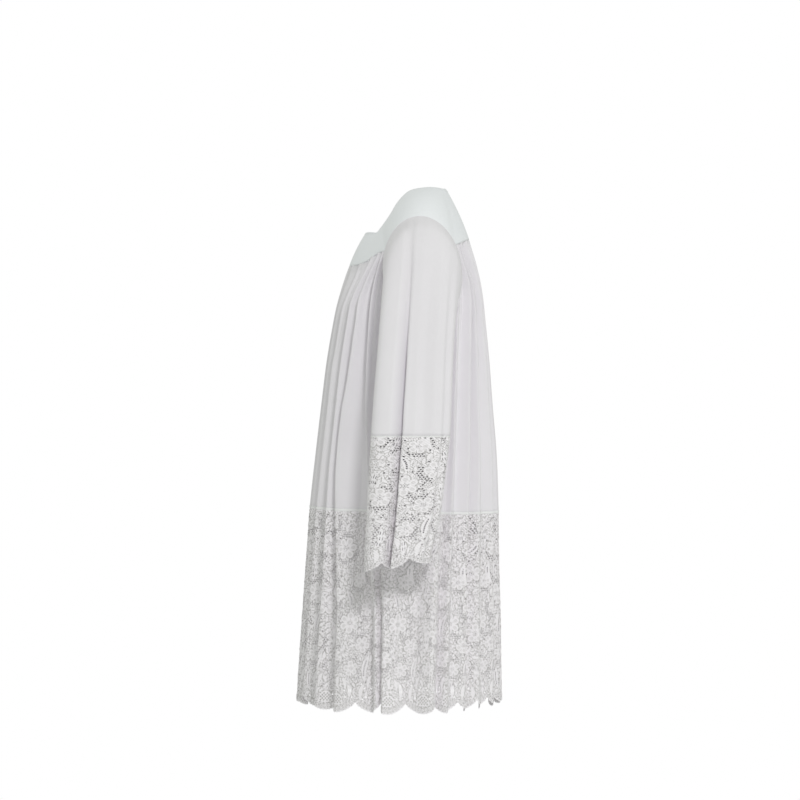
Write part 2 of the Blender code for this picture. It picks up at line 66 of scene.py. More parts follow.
# Cloth
CLOTH_WALL = 0.0007     # thickness of the plain cloth, a little full so that its edges read
YOKE_WALL = CLOTH_WALL * 1.5    # the yoke is doubled
CLOSED = 0.00005        # points nearer than this are joined where a piece closes on itself
PANEL_COLUMNS_PER_FOLD = 26
PANEL_ROWS = 76
YOKE_COLUMNS = 260
YOKE_ROWS = 26
SLEEVE_COLUMNS = 132
SLEEVE_ROWS = 84
CURVE_STEPS = 2000      # steps for measuring along a curve
CUT_STEPS = 121         # and for measuring a shaped piece's cut
PANEL_LENGTH = 0.480    # the flat chart's lengths, which the threads are drawn on
SLEEVE_LENGTH = 0.400
CUFF_LACE_DEPTH = 0.245
YOKE_DEPTH = 0.096      # the mean of 0.069 at the centre front to 0.162 at the back's corners
YOKE_LAP = 0.0035       # how far the yoke laps over the panels
YOKE_MIDDLE = 0.6       # the yoke's flat length is measured at this share of its depth
YOKE_OVER = 0.02        # past the neck's edge the yoke's form goes on for this share of its depth
LAP_OUTWARD = 0.5       # the lap follows the yoke's own slope this much
LAP_FALL = 0.9          # and falls straight down this much

# Seams, tapes and stitches
STITCH_PITCH = 0.0034
STITCH_LENGTH = 0.0026
STITCH_WIDTH = 0.0007
WELT_SUNK = 0.0002      # the edges of a strip go this far into the cloth
STRIP = 0.004           # width of the turned cloth along a side seam and round an armhole
STRIP_LIFT = 0.0009     # how far it and the neck's rim stand off the cloth
ARMHOLE_LIFT = 0.0010   # and how far the strip round an armhole does
STRIP_CELLS = (4, 60)   # columns and rows of a strip down a seam
RIM = 0.0070            # mean depth of the folded rim round the neck
RIM_TOP = 0.0008        # the rim reaches this far over the neck's edge
RIM_STITCHES = 0.0015   # and its stitches lie this far above its foot
RIM_CELLS = (300, 6)
LAP_STITCHES = 0.0014   # the yoke's stitches lie this far above its outer edge
TAPE = 0.0065           # depth of the tape over the lace's seam
TAPE_LIFT = 0.0012
TAPE_STITCHES = (0.0019, -0.0019)   # its two rows of stitches, above and below the seam
# How far the middles of the stitches lie off the cloth
RIM_STITCH_LIFT, LAP_STITCH_LIFT, TAPE_STITCH_LIFT = 0.0008, 0.0006, 0.0011
TAPE_ROWS = 6
FLOUNCE_TAPE_COLUMNS = 420
CUFF_TAPE_COLUMNS = 40  # for each scallop
ARMHOLE_CELLS = (180, 4)


class Table:
    """Rows of sizes under named columns, read along a smooth curve between the rows."""

    def __init__(self, columns, rows):
        self.columns = columns
        rows = np.array(sorted(rows))
        self.keys, self.values = rows[:, 0], rows[:, 1:]
        self.slopes = np.gradient(self.values, self.keys, axis=0)

    def __call__(self, name, key):
        column = self.columns.index(name) - 1
        key = np.clip(key, self.keys[0], self.keys[-1])
        i = np.clip(np.searchsorted(self.keys, key, side="right") - 1, 0, len(self.keys) - 2)
        span = self.keys[i + 1] - self.keys[i]
        t = (key - self.keys[i]) / span
        values, slopes = self.values[:, column], self.slopes[:, column]
        return (
            (2 * t**3 - 3 * t**2 + 1) * values[i]
            + (t**3 - 2 * t**2 + t) * span * slopes[i]
            + (3 * t**2 - 2 * t**3) * values[i + 1]
            + (t**3 - t**2) * span * slopes[i + 1]
        )

    def point(self, key):
        """The point of a table that has the columns x, y and z."""
        return np.stack([self(axis, key) for axis in "xyz"], axis=-1)


# The yoke's neck edge on the left, from the centre front over the shoulder to the centre back
NECK = Table(
    ("station", "x", "y", "z", "crown"),
    (
        (0, 0.0000, -0.0945, -0.0735, 0.002),
        (1, 0.0360, -0.0895, -0.0740, 0.002),
        (2, 0.0600, -0.0800, -0.0755, 0.003),
        (3, 0.0690, -0.0755, -0.0765, 0.004),
        (4, 0.0735, -0.0710, -0.0740, 0.005),
        (5, 0.0755, -0.0610, -0.0610, 0.006),
        (6, 0.0780, -0.0460, -0.0400, 0.008),
        (7, 0.0800, -0.0320, -0.0170, 0.010),
        (8, 0.0800, -0.0110, 0.0030, 0.011),
        (9, 0.0790, 0.0190, 0.0095, 0.011),
        (10, 0.0700, 0.0400, 0.0098, 0.009),
        (11, 0.0550, 0.0520, 0.0085, 0.007),
        (12, 0.0300, 0.0585, 0.0092, 0.004),
        (13, 0.0000, 0.0600, 0.0097, 0.003),
    ),
)

# The seams where the panels are sewn to the yoke. Between stations 5 and 11 it is the armhole.
YOKE_EDGE = Table(
    ("station", "x", "y", "z"),
    (
        (0, 0.000, -0.1255, -0.1350),
        (1, 0.050, -0.1210, -0.1360),
        (2, 0.085, -0.1100, -0.1355),
        (3, 0.114, -0.0930, -0.1300),
        (4, 0.143, -0.0710, -0.1160),
        (5, 0.169, -0.0560, -0.1120),
        (11, 0.171, 0.0780, -0.1010),
        (12, 0.095, 0.0985, -0.0880),
        (13, 0.000, 0.1035, -0.0850),
    ),
)
FRONT_CORNER = 5
BACK_CORNER = 11
LAST_STATION = 13
CHEST = np.array((0.0, 0.005, -0.160))

# The armhole, by the angle from its top, positive towards the back
ARMHOLE = Table(
    ("angle", "reach"),
    (
        (-180.0, 0.1895),
        (-150.0, 0.1880),
        (-130.0, 0.1840),
        (-110.0, 0.1775),
        (-90.0, 0.1700),
        (-66.0, 0.1680),
        (-40.0, 0.1790),
        (-20.0, 0.1855),
        (0.0, 0.1880),
        (20.0, 0.1870),
        (40.0, 0.1805),
        (59.0, 0.1705),
        (90.0, 0.1665),
        (110.0, 0.1715),
        (130.0, 0.1785),
        (150.0, 0.1850),
        (180.0, 0.1895),
    ),
)
ARMHOLE_MIDDLE_Y = 0.0135
ARMHOLE_MIDDLE_Z = -0.155
ARMHOLE_HALF_DEPTH = 0.0745
ARMHOLE_HALF_HEIGHT = 0.104
ARMHOLE_LEAN = 0.006
ARMHOLE_FRONT_CORNER = -66.0
ARMHOLE_BACK_CORNER = 59.0

# The outline of the hanging cloth at the crests of its folds
BODY = Table(
    ("height", "front", "back", "half_width", "square_front", "square_back"),
    (
        (-0.080, -0.1020, 0.1020, 0.164, 2.60, 4.00),
        (-0.140, -0.1310, 0.1195, 0.171, 2.60, 3.90),
        (-0.200, -0.1480, 0.1308, 0.180, 2.55, 3.60),
        (-0.250, -0.1580, 0.1362, 0.188, 2.50, 3.30),
        (-0.320, -0.1700, 0.1430, 0.200, 2.40, 3.00),
        (-0.400, -0.1800, 0.1490, 0.214, 2.30, 2.70),
        (-0.500, -0.1918, 0.1572, 0.230, 2.20, 2.45),
        (-0.605, -0.2032, 0.1610, 0.246, 2.10, 2.30),
        (-0.700, -0.2102, 0.1622, 0.262, 2.05, 2.20),
        (-0.800, -0.2172, 0.1650, 0.286, 2.00, 2.10),
        (-0.900, -0.2240, 0.1664, 0.312, 2.00, 2.05),
        (-0.980, -0.2292, 0.1680, 0.332, 2.00, 2.00),
    ),
)

# Every fold round the garment: its place under the yoke and at the hem, in degrees from the centre front
# towards the left, and its depth under the yoke, at the lace seam and at the hem
FOLDS = Table(
    ("crest", "angle_yoke", "angle_hem", "depth_yoke", "depth_seam", "depth_hem"),
    (
        (0, 3.0, 3.0, 0.0050, 0.011, 0.024),
        (1, 14.5, 12.5, 0.0050, 0.008, 0.009),
        (2, 26.5, 21.5, 0.0055, 0.012, 0.022),
        (3, 39.0, 35.5, 0.0060, 0.014, 0.026),
        (4, 50.0, 50.5, 0.0060, 0.014, 0.027),
        (5, 61.0, 66.0, 0.0055, 0.012, 0.026),
        (6, 76.0, 80.5, 0.0030, 0.007, 0.026),
        (7, 105.0, 107.0, 0.0030, 0.008, 0.026),
        (8, 116.5, 116.0, 0.0035, 0.008, 0.011),
        (9, 132.0, 126.0, 0.0050, 0.013, 0.024),
        (10, 147.0, 139.0, 0.0060, 0.014, 0.026),
        (11, 161.0, 153.5, 0.0055, 0.012, 0.024),
        (12, 171.5, 166.5, 0.0050, 0.009, 0.012),
        (13, 178.2, 178.0, 0.0050, 0.012, 0.026),
        (14, 184.0, 191.0, 0.0055, 0.011, 0.023),
        (15, 193.5, 202.5, 0.0050, 0.009, 0.012),
        (16, 205.0, 215.0, 0.0060, 0.014, 0.027),
        (17, 216.5, 229.0, 0.0055, 0.013, 0.025),
        (18, 229.0, 240.0, 0.0050, 0.009, 0.013),
        (19, 244.5, 253.0, 0.0030, 0.008, 0.025),
        (20, 284.0, 278.5, 0.0030, 0.007, 0.026),
        (21, 298.5, 292.0, 0.0050, 0.012, 0.024),
        (22, 310.0, 306.0, 0.0060, 0.014, 0.027),
        (23, 321.5, 320.0, 0.0055, 0.013, 0.025),
        (24, 332.5, 333.5, 0.0055, 0.010, 0.021),
        (25, 343.0, 343.5, 0.0050, 0.008, 0.010),
        (26, 352.5, 352.5, 0.0050, 0.009, 0.016),
        (27, 363.0, 363.0, 0.0050, 0.011, 0.024),
    ),
)
FOLD_COUNT = 27

# Finer creases, listed one by one: place round the body at their top and foot, the heights of these, half
# width in folds and depth in millimetres
CREASES = (
    (2.15, 2.05, -0.13, -0.34, 0.10, 3.2),
    (2.80, 2.70, -0.13, -0.42, 0.10, 3.6),
    (3.30, 3.20, -0.13, -0.36, 0.08, 3.6),
    (3.72, 3.62, -0.12, -0.30, 0.08, 3.0),
    (4.25, 4.25, -0.12, -0.28, 0.08, 3.6),
    (4.80, 4.60, -0.12, -0.30, 0.08, 4.0),
    (5.25, 5.35, -0.12, -0.38, 0.08, 4.0),
    (1.60, 1.50, -0.13, -0.40, 0.11, 3.0),
    (0.75, 0.70, -0.13, -0.33, 0.10, 3.2),
    (0.20, 0.25, -0.13, -0.45, 0.10, 2.6),
    (26.65, 26.60, -0.13, -0.36, 0.10, 3.2),
    (26.10, 26.20, -0.13, -0.30, 0.10, 3.0),
    (25.30, 25.35, -0.13, -0.44, 0.10, 3.4),
    (24.70, 24.80, -0.13, -0.32, 0.10, 3.2),
    (23.75, 23.85, -0.12, -0.40, 0.08, 3.6),
    (23.25, 23.30, -0.12, -0.30, 0.08, 3.0),
    (22.75, 22.85, -0.12, -0.50, 0.08, 3.6),
    (22.25, 22.30, -0.12, -0.33, 0.08, 4.0),
    (21.70, 21.60, -0.12, -0.36, 0.08, 4.0),
    (8.55, 8.35, -0.12, -0.40, 0.10, 3.2),
    (9.45, 9.30, -0.10, -0.36, 0.08, 4.0),
    (9.95, 9.90, -0.10, -0.44, 0.08, 3.2),
    (10.40, 10.30, -0.10, -0.30, 0.08, 3.6),
    (10.85, 10.80, -0.10, -0.38, 0.08, 3.2),
    (11.60, 11.55, -0.09, -0.33, 0.10, 3.2),
    (12.30, 12.35, -0.09, -0.42, 0.10, 3.0),
    (13.20, 13.20, -0.09, -0.30, 0.10, 3.2),
    (13.80, 13.85, -0.09, -0.40, 0.10, 2.8),
    (14.60, 14.65, -0.09, -0.34, 0.10, 3.2),
    (15.35, 15.40, -0.09, -0.30, 0.08, 3.2),
    (15.85, 15.95, -0.10, -0.43, 0.08, 3.2),
    (16.60, 16.70, -0.10, -0.34, 0.08, 3.6),
    (17.20, 17.30, -0.10, -0.38, 0.08, 3.2),
    (17.75, 17.85, -0.10, -0.30, 0.08, 3.6),
    (18.40, 18.60, -0.12, -0.42, 0.10, 3.2),
    (4.40, 4.55, -0.50, -0.93, 0.12, 2.5),
    (3.25, 3.30, -0.55, -0.93, 0.10, 2.5),
    (1.40, 1.35, -0.50, -0.90, 0.12, 2.5),
    (6.20, 6.30, -0.45, -0.93, 0.05, 3.0),
    (6.75, 6.72, -0.50, -0.93, 0.05, 3.0),
    (7.40, 7.30, -0.35, -0.80, 0.10, 2.5),
    (9.25, 9.35, -0.45, -0.92, 0.12, 2.5),
    (10.30, 10.25, -0.48, -0.90, 0.12, 2.5),
    (12.60, 12.55, -0.50, -0.92, 0.14, 2.5),
    (14.30, 14.35, -0.48, -0.90, 0.12, 2.5),
    (16.75, 16.65, -0.50, -0.93, 0.12, 2.5),
    (19.30, 19.25, -0.45, -0.93, 0.05, 3.0),
    (19.75, 19.80, -0.50, -0.90, 0.05, 3.0),
    (22.60, 22.50, -0.50, -0.93, 0.12, 2.5),
    (24.30, 24.20, -0.55, -0.93, 0.12, 2.5),
)
CREASE_STARTS = 0.03        # a crease deepens over this height
CREASE_ENDS = 0.06          # and fades over this one
LEFT_SIDE_SEAM = 6.5        # places between folds
RIGHT_SIDE_SEAM = 19.5
LEFT_CORNERS = (5.5, 8.5)   # where the yoke's seam meets the armhole, in front and behind
RIGHT_CORNERS = (20.5, 18.5)
YOKE_SEAM = -0.12
PLEATS_SET = -0.10          # at this height the pleats have their depth under the yoke
PLEATS_HALFWAY = -0.25      # and at this one they are halfway to their depth at the lace
PLEAT_RELEASE = 0.10        # the cloth leaves the seam's line over this height
PLEAT_KEPT = 0.05           # share of a pleat's depth that it keeps in the seam
PLEAT_OPENING = 0.022       # it opens to its full depth over this height

# The sleeve, ring by ring. Rings 0 to 7 are cloth, and 7 to 10 the lace border.
SLEEVE = Table(
    ("ring", "outer_x", "outer_z", "inner_x", "inner_z", "front", "back"),
    (
        (0, 0.188, -0.051, 0.188, -0.259, -0.0610, 0.0880),
        (1, 0.214, -0.070, 0.197, -0.265, -0.0600, 0.0850),
        (2, 0.235, -0.103, 0.204, -0.279, -0.0605, 0.0810),
        (3, 0.252, -0.152, 0.211, -0.302, -0.0625, 0.0770),
        (4, 0.268, -0.215, 0.219, -0.334, -0.0665, 0.0730),
        (5, 0.284, -0.290, 0.228, -0.373, -0.0715, 0.0695),
        (6, 0.305, -0.375, 0.237, -0.417, -0.0775, 0.0670),
        (7, 0.326, -0.462, 0.246, -0.462, -0.0825, 0.0636),
        (8, 0.347, -0.541, 0.256, -0.541, -0.0865, 0.0545),
        (9, 0.368, -0.620, 0.266, -0.620, -0.0905, 0.0450),
        (10, 0.388, -0.699, 0.276, -0.699, -0.0950, 0.0280),
    ),
)
LACE_RING = 7
CUFF_RING = 10

# The folds down each sleeve: angle from the outermost line at the top and at the cuff, half width on the
# gentle and on the steep side, depth, ring of start and ring of full depth
SLEEVE_TROUGHS_LEFT = (
    (-18.0, -16.0, 12.0, 5.0, 0.029, 0.6, 6.2),
    (18.0, 20.0, 15.0, 14.0, 0.005, 0.8, 3.0),
    (57.0, 54.0, 11.0, 10.0, 0.005, 1.0, 4.0),
    (112.0, 112.0, 26.0, 20.0, 0.013, 3.0, 8.0),
    (-128.0, -128.0, 22.0, 26.0, 0.013, 4.0, 9.0),
    (168.0, 164.0, 18.0, 14.0, 0.006, 2.0, 6.0),
)
SLEEVE_TROUGHS_RIGHT = (
    (-13.0, -20.0, 14.0, 6.0, 0.027, 0.8, 6.6),
    (20.0, 23.0, 20.0, 15.0, 0.007, 0.8, 4.0),
    (50.0, 46.0, 11.0, 12.0, 0.005, 1.5, 5.0),
    (104.0, 104.0, 24.0, 22.0, 0.012, 3.5, 8.0),
    (-136.0, -136.0, 24.0, 26.0, 0.013, 3.0, 9.0),
    (172.0, 166.0, 16.0, 16.0, 0.006, 2.5, 6.0),
)
TROUGH_ROUNDNESS = 0.72     # below 1 a trough has a broad bottom
TROUGH_EVEN = 1.9           # both sides of a trough are their sum divided by this, at the sleeve's top
TROUGH_UNEVEN = (3.0, 6.5)  # between these rings they take up their own widths
# How square the sleeve is at its front, its back and inside, where 2 is round, and the rings where it begins
SQUARE_FRONT = 5.0
SQUARE_BACK = 2.6
SQUARE_INSIDE = 2.2
SQUARE_RINGS = (0.6, 4.0)
GATHER_RINGS = (0.05, 0.5)  # the small gathers deepen between these rings
GATHER_FADE = 0.8           # and fade from this one

# Small gathers where the sleeve is set in: angle, half width, depth, ring where they end
SLEEVE_GATHERS = (
    (-52.0, 4.0, 0.0011, 1.6),
    (-39.0, 3.5, 0.0009, 2.0),
    (-25.0, 4.0, 0.0012, 2.4),
    (-12.0, 3.5, 0.0010, 1.9),
    (2.0, 4.0, 0.0011, 2.2),
    (14.0, 3.5, 0.0008, 1.5),
    (27.0, 4.0, 0.0011, 2.5),
    (40.0, 3.5, 0.0009, 1.7),
    (54.0, 4.0, 0.0010, 2.2),
)


def ramp(value, low, high):
    """0 at low, 1 at high, and straight between them."""
    return np.clip((value - low) / (high - low), 0.0, 1.0)


def smooth(value, low, high):
    """The same with soft ends."""
    t = ramp(value, low, high)
    return t * t * (3 - 2 * t)


def unit(vectors):
    return vectors / np.linalg.norm(vectors, axis=-1, keepdims=True)


def run_along(points):
    """The length along a line of points, at each of them."""
    return np.concatenate(([0.0], np.cumsum(np.linalg.norm(np.diff(points, axis=0), axis=1))))


def armhole(angle):
    """Points of the left armhole."""
    turn = np.radians(angle)
    return np.stack((
        ARMHOLE("reach", (angle + 180) % 360 - 180),
        ARMHOLE_MIDDLE_Y + ARMHOLE_HALF_DEPTH * np.sin(turn) - ARMHOLE_LEAN * np.cos(turn),
        ARMHOLE_MIDDLE_Z + ARMHOLE_HALF_HEIGHT * np.cos(turn),
    ), axis=-1)


def yoke_seam(station):
    """The yoke's outer edge on the left, at its stations."""
    station = np.asarray(station, float)
    share = ramp(station, FRONT_CORNER, BACK_CORNER)
    cap = armhole(ARMHOLE_FRONT_CORNER + share * (ARMHOLE_BACK_CORNER - ARMHOLE_FRONT_CORNER))
    corner = np.where(station < FRONT_CORNER, FRONT_CORNER, BACK_CORNER)
    lead = np.clip(1.0 - np.abs(station - corner), 0.0, 1.0)[..., None]
    edge = YOKE_EDGE.point(station) + lead * (cap - YOKE_EDGE.point(corner))
    inside = (station >= FRONT_CORNER) & (station <= BACK_CORNER)
    return np.where(inside[..., None], cap, edge)


def yoke_point(station, row):
    """Points of the yoke on the left: row runs from 0 at the neck to 1 at the seam."""
    neck = NECK.point(station)
    row = np.asarray(row)[..., None]
    point = neck + row * (yoke_seam(station) - neck)
    crown = NECK("crown", station)[..., None] * 4 * row * (1 - row)
    return point + unit(point - CHEST) * crown


def outline(height, angle):
    """The crest outline's points and outward directions, at heights and angles from the front."""
    front, back = BODY("front", height), BODY("back", height)
    half_depth, half_width = (back - front) / 2, BODY("half_width", height)
    turn = np.radians(angle)
    square = np.where(np.cos(turn) > 0, BODY("square_front", height), BODY("square_back", height))
    x = np.sign(np.sin(turn)) * np.abs(np.sin(turn)) ** (2 / square)
    y = -np.sign(np.cos(turn)) * np.abs(np.cos(turn)) ** (2 / square)
    point = np.stack((half_width * x, (front + back) / 2 + half_depth * y, height + 0 * x), axis=-1)
    slope_x = np.sign(x) * np.abs(x) ** (square - 1) * half_depth
    slope_y = np.sign(y) * np.abs(y) ** (square - 1) * half_width
    return point, unit(np.stack((slope_x, slope_y, 0 * x), axis=-1))


def lace_seam(angle):
    """Height of the seam between a panel and its lace."""
    return LACE_SEAM_BACK + (LACE_SEAM_FRONT - LACE_SEAM_BACK) * (1 + np.cos(np.radians(angle))) / 2


def fold_angle(crest, height):
    """Where a fold's crest, or the cloth between two, lies round the body at a height."""
    turns = crest // FOLD_COUNT
    crest = crest % FOLD_COUNT
    top, hem = FOLDS("angle_yoke", crest), FOLDS("angle_hem", crest)
    return top + (hem - top) * ramp(height, YOKE_SEAM, HEM_NOTCH) + 360 * turns


def fold_depth(crest, height):
    """How deep the fold is at a height."""
    crest = crest % FOLD_COUNT
    yoke, seam, hem = (FOLDS("depth_" + name, crest) for name in ("yoke", "seam", "hem"))
    half = (yoke + seam) / 2
    return (
        hem
        + (seam - hem) * ramp(height, HEM_NOTCH, LACE_SEAM_BACK)
        + (half - seam) * ramp(height, LACE_SEAM_BACK, PLEATS_HALFWAY)
        + (yoke - half) * ramp(height, PLEATS_HALFWAY, PLEATS_SET)
    )


# Ridges and valleys that leave their even places: the line's number, and at each height its place and its
# depth in millimetres beyond the solid's own. Whole numbers are ridges and halves are valleys. The same lines
# on the right are numbered back from the last fold, and move less.
SHIFTED_LINES = {
    2.5: ((-0.13, 2.78, 4.0), (-0.25, 2.76, 3.0), (-0.50, 2.62, 1.0), (-0.95, 2.62, 0.0)),
    3.0: (
        (-0.13, 3.10, 0.0), (-0.25, 3.10, 0.0), (-0.40, 2.93, 0.0), (-0.52, 2.87, 0.0), (-0.64, 2.98, 0.0),
        (-0.95, 3.08, 0.0),
    ),
    3.5: (
        (-0.13, 3.76, 5.0), (-0.25, 3.66, 4.0), (-0.34, 3.48, 4.0), (-0.40, 3.28, 3.0), (-0.52, 3.18, 3.0),
        (-0.64, 3.40, 2.0), (-0.95, 3.60, 0.0),
    ),
    4.0: (
        (-0.13, 4.05, 0.0), (-0.30, 3.95, 0.0), (-0.36, 3.78, 0.0), (-0.40, 3.56, 0.0), (-0.46, 3.42, 0.0),
        (-0.53, 3.42, 0.0), (-0.64, 3.74, 0.0), (-0.78, 4.02, 0.0), (-0.95, 4.12, 0.0),
    ),
    4.5: (
        (-0.13, 4.76, 8.0), (-0.20, 4.78, 10.0), (-0.32, 4.76, 10.0), (-0.40, 4.72, 13.0),
        (-0.53, 4.74, 15.0), (-0.64, 4.84, 15.0), (-0.78, 5.16, 9.0), (-0.95, 5.30, 6.0),
    ),
    5.0: (
        (-0.13, 5.05, 0.0), (-0.20, 5.12, 0.0), (-0.32, 5.15, 0.0), (-0.40, 5.14, 1.0), (-0.64, 5.38, 10.0),
        (-0.78, 5.64, 12.0), (-0.95, 5.70, 12.0),
    ),
    5.5: (
        (-0.13, 5.76, 6.0), (-0.20, 5.78, 10.0), (-0.32, 5.80, 10.0), (-0.50, 5.80, 5.0), (-0.64, 5.82, 2.0),
        (-0.95, 5.88, -6.0),
    ),
    8.5: (
        (-0.13, 8.80, 2.0), (-0.20, 8.85, 4.0), (-0.30, 8.60, 3.0), (-0.50, 8.45, 3.0), (-0.95, 8.50, -5.0),
    ),
    9.0: (
        (-0.13, 9.30, 0.0), (-0.20, 9.25, 0.0), (-0.30, 9.05, 0.0), (-0.60, 9.00, 0.0), (-0.95, 9.15, 0.0),
    ),
    9.5: (
        (-0.09, 9.72, 10.0), (-0.135, 9.68, 20.0), (-0.19, 9.62, 20.0), (-0.30, 9.50, 11.0),
        (-0.50, 9.40, 3.0), (-0.95, 9.60, -10.0),
    ),
    10.0: (
        (-0.09, 9.96, 0.0), (-0.135, 9.90, 0.0), (-0.20, 9.84, 0.0), (-0.40, 9.74, 0.0), (-0.60, 9.74, 0.0),
        (-0.95, 10.00, 0.0),
    ),
    10.5: (
        (-0.09, 10.78, 8.0), (-0.13, 10.76, 14.0), (-0.20, 10.70, 11.0), (-0.35, 10.66, 3.0),
        (-0.95, 10.62, -10.0),
    ),
}
RIGHT_SHIFT = 0.8       # how much of the left's sideways shift the right side has
RIGHT_DEPTH = 0.85      # and how much of its added depth
# Sizes by height, straight between the rows
VALLEY_LEAN = ((-0.12, 0.24), (-0.50, 0.20), (-0.95, 0.12))     # the valleys lie nearer the ridge behind them
VALLEY_FULLNESS = ((-0.12, 2.0), (-0.20, 1.9), (-0.60, 1.65), (-0.80, 1.35), (-0.95, 1.15))
FOLD_ROUNDNESS = ((-0.10, 1.3), (-0.30, 1.2), (-0.60, 1.25), (-0.96, 1.5))
FOLD_STRAIGHT = 0.3     # share of a fold's flank that falls straight, and the rest in a wave
LEAN_FADE = 0.6         # the lean changes sides over this many folds
MAP_HEIGHTS = np.linspace(-0.08, -0.98, 181)
MAP_CRESTS = np.linspace(0.0, FOLD_COUNT, FOLD_COUNT * 40 + 1)


def by_height(rows, height):
    """A size read straight between rows of heights and sizes."""
    heights, sizes = np.array(rows).T
    return np.interp(-height, -heights, sizes)


def fold_lines(height):
    """The ridges and valleys at a height: their numbers' places and depths."""
    numbers = np.arange(2 * FOLD_COUNT + 1) / 2
    valley = numbers % 1 != 0
    side = np.clip((FOLD_COUNT / 2 - numbers) / LEAN_FADE, -1.0, 1.0)
    places = numbers + np.where(valley, by_height(VALLEY_LEAN, height) * side, 0.0)
    depths = np.where(valley, fold_depth(numbers, height) * by_height(VALLEY_FULLNESS, height), 0.0)
    for number, rows in SHIFTED_LINES.items():
        heights, shifts, extras = np.array(rows).T
        shift = np.interp(-height, -heights, shifts) - number
        extra = np.interp(-height, -heights, extras) * MM
        places[round(2 * number)] = number + shift
        depths[round(2 * number)] += extra
        right = FOLD_COUNT - number
        places[round(2 * right)] = right - shift * RIGHT_SHIFT
        depths[round(2 * right)] += extra * RIGHT_DEPTH
    return places, np.maximum(depths, 0.0)


def fold_map():
    """The depth of the cloth below its outline, on a grid of heights and places round the body."""
    rows = []
    for height in MAP_HEIGHTS:
        places, depths = fold_lines(height)
        roundness = by_height(FOLD_ROUNDNESS, height)
        i = np.clip(np.searchsorted(places, MAP_CRESTS, side="right") - 1, 0, len(places) - 2)
        t = np.clip((MAP_CRESTS - places[i]) / (places[i + 1] - places[i]), 0.0, 1.0)
        t = np.where(i % 2 == 0, t, 1 - t)
        wave = np.sin(np.pi / 2 * t) ** roundness
        rising = FOLD_STRAIGHT * t**roundness + (1 - FOLD_STRAIGHT) * wave
        ridge = np.where(i % 2 == 0, depths[i], depths[i + 1])
        valley = np.where(i % 2 == 0, depths[i + 1], depths[i])
        rows.append(ridge + (valley - ridge) * rising)
    return np.array(rows)


FOLD_MAP = fold_map()


def sunk(crest, height):
    """How far the cloth lies below its outline."""
    down = (height - MAP_HEIGHTS[0]) / (MAP_HEIGHTS[-1] - MAP_HEIGHTS[0])
    row = np.clip(down, 0, 1) * (len(MAP_HEIGHTS) - 1)
    column = (crest % FOLD_COUNT) / FOLD_COUNT * (len(MAP_CRESTS) - 1)
    i, j = (np.minimum(np.floor(v).astype(int), size - 2) for v, size in zip((row, column), FOLD_MAP.shape))
    a, b = row - i, column - j
    return (
        FOLD_MAP[i, j] * (1 - a) * (1 - b) + FOLD_MAP[i + 1, j] * a * (1 - b)
        + FOLD_MAP[i, j + 1] * (1 - a) * b + FOLD_MAP[i + 1, j + 1] * a * b
    )


def cloth(crest, height):
    """Points of the folded cloth round the body. A whole number is a ridge, and a half is a valley."""
    crest, height = np.broadcast_arrays(np.asarray(crest, float), np.asarray(height, float))
    point, out = outline(height, fold_angle(crest, height))
    return point - out * (sunk(crest, height) + creases(crest, height))[..., None]


def creases(crest, height):
    """The finer folds between the main ones, as depths below the cloth."""
    depth = 0.0 * crest
    for start, end, top, low, half_width, most in CREASES:
        share = ramp(height, top, low)
        off = (crest - (start + (end - start) * share) + FOLD_COUNT / 2) % FOLD_COUNT - FOLD_COUNT / 2
        across = np.exp(-((off / half_width) ** 2))
        along = smooth(height, top, top - CREASE_STARTS) * (1 - smooth(height, low + CREASE_ENDS, low))
        depth = depth + most * MM * across * along
    return depth


def seam_widths(middle, corner):
    """Distances from the centre line along the yoke's front or back seam, with their stations."""
    stations = np.linspace(middle, corner, 101)
    return yoke_seam(stations)[:, 0], stations


def panel_top(crests):
    """The line where a panel is sewn to the yoke, or, past its corners, the armhole's edge."""
    points = []
    for crest in np.asarray(crests) % FOLD_COUNT:
        kind, place, side = top_place(crest)
        point = yoke_seam(place) if kind == "yoke" else armhole(place)
        points.append(point * (side, 1, 1))
    return np.array(points)


def top_place(crest):
    """What a panel's top edge is sewn to at a fold: a station of the yoke or an angle of the armhole."""
    crest = crest % FOLD_COUNT
    left = fold_angle(crest, YOKE_SEAM) <= 180
    seam, corners = (LEFT_SIDE_SEAM, LEFT_CORNERS) if left else (RIGHT_SIDE_SEAM, RIGHT_CORNERS)
    bearing, front, side, back = (
        fold_angle(mark, YOKE_SEAM) if left else 360 - fold_angle(mark, YOKE_SEAM)
        for mark in (crest, corners[0], seam, corners[1])
    )
    hand = 1 if left else -1
    if bearing <= front or bearing >= back:
        middle, corner, edge = 0, FRONT_CORNER, front
        if bearing > front:
            middle, corner, edge = LAST_STATION, BACK_CORNER, back
        share = outline(YOKE_SEAM, bearing)[0][0] / outline(YOKE_SEAM, edge)[0][0]
        widths, stations = seam_widths(middle, corner)
        return "yoke", float(np.interp(share * widths[-1], widths, stations)), hand
    if bearing <= side:
        share = (bearing - front) / (side - front)
        return "armhole", ARMHOLE_FRONT_CORNER + share * (-180 - ARMHOLE_FRONT_CORNER), hand
    share = (back - bearing) / (back - side)
    return "armhole", ARMHOLE_BACK_CORNER + share * (180 - ARMHOLE_BACK_CORNER), hand


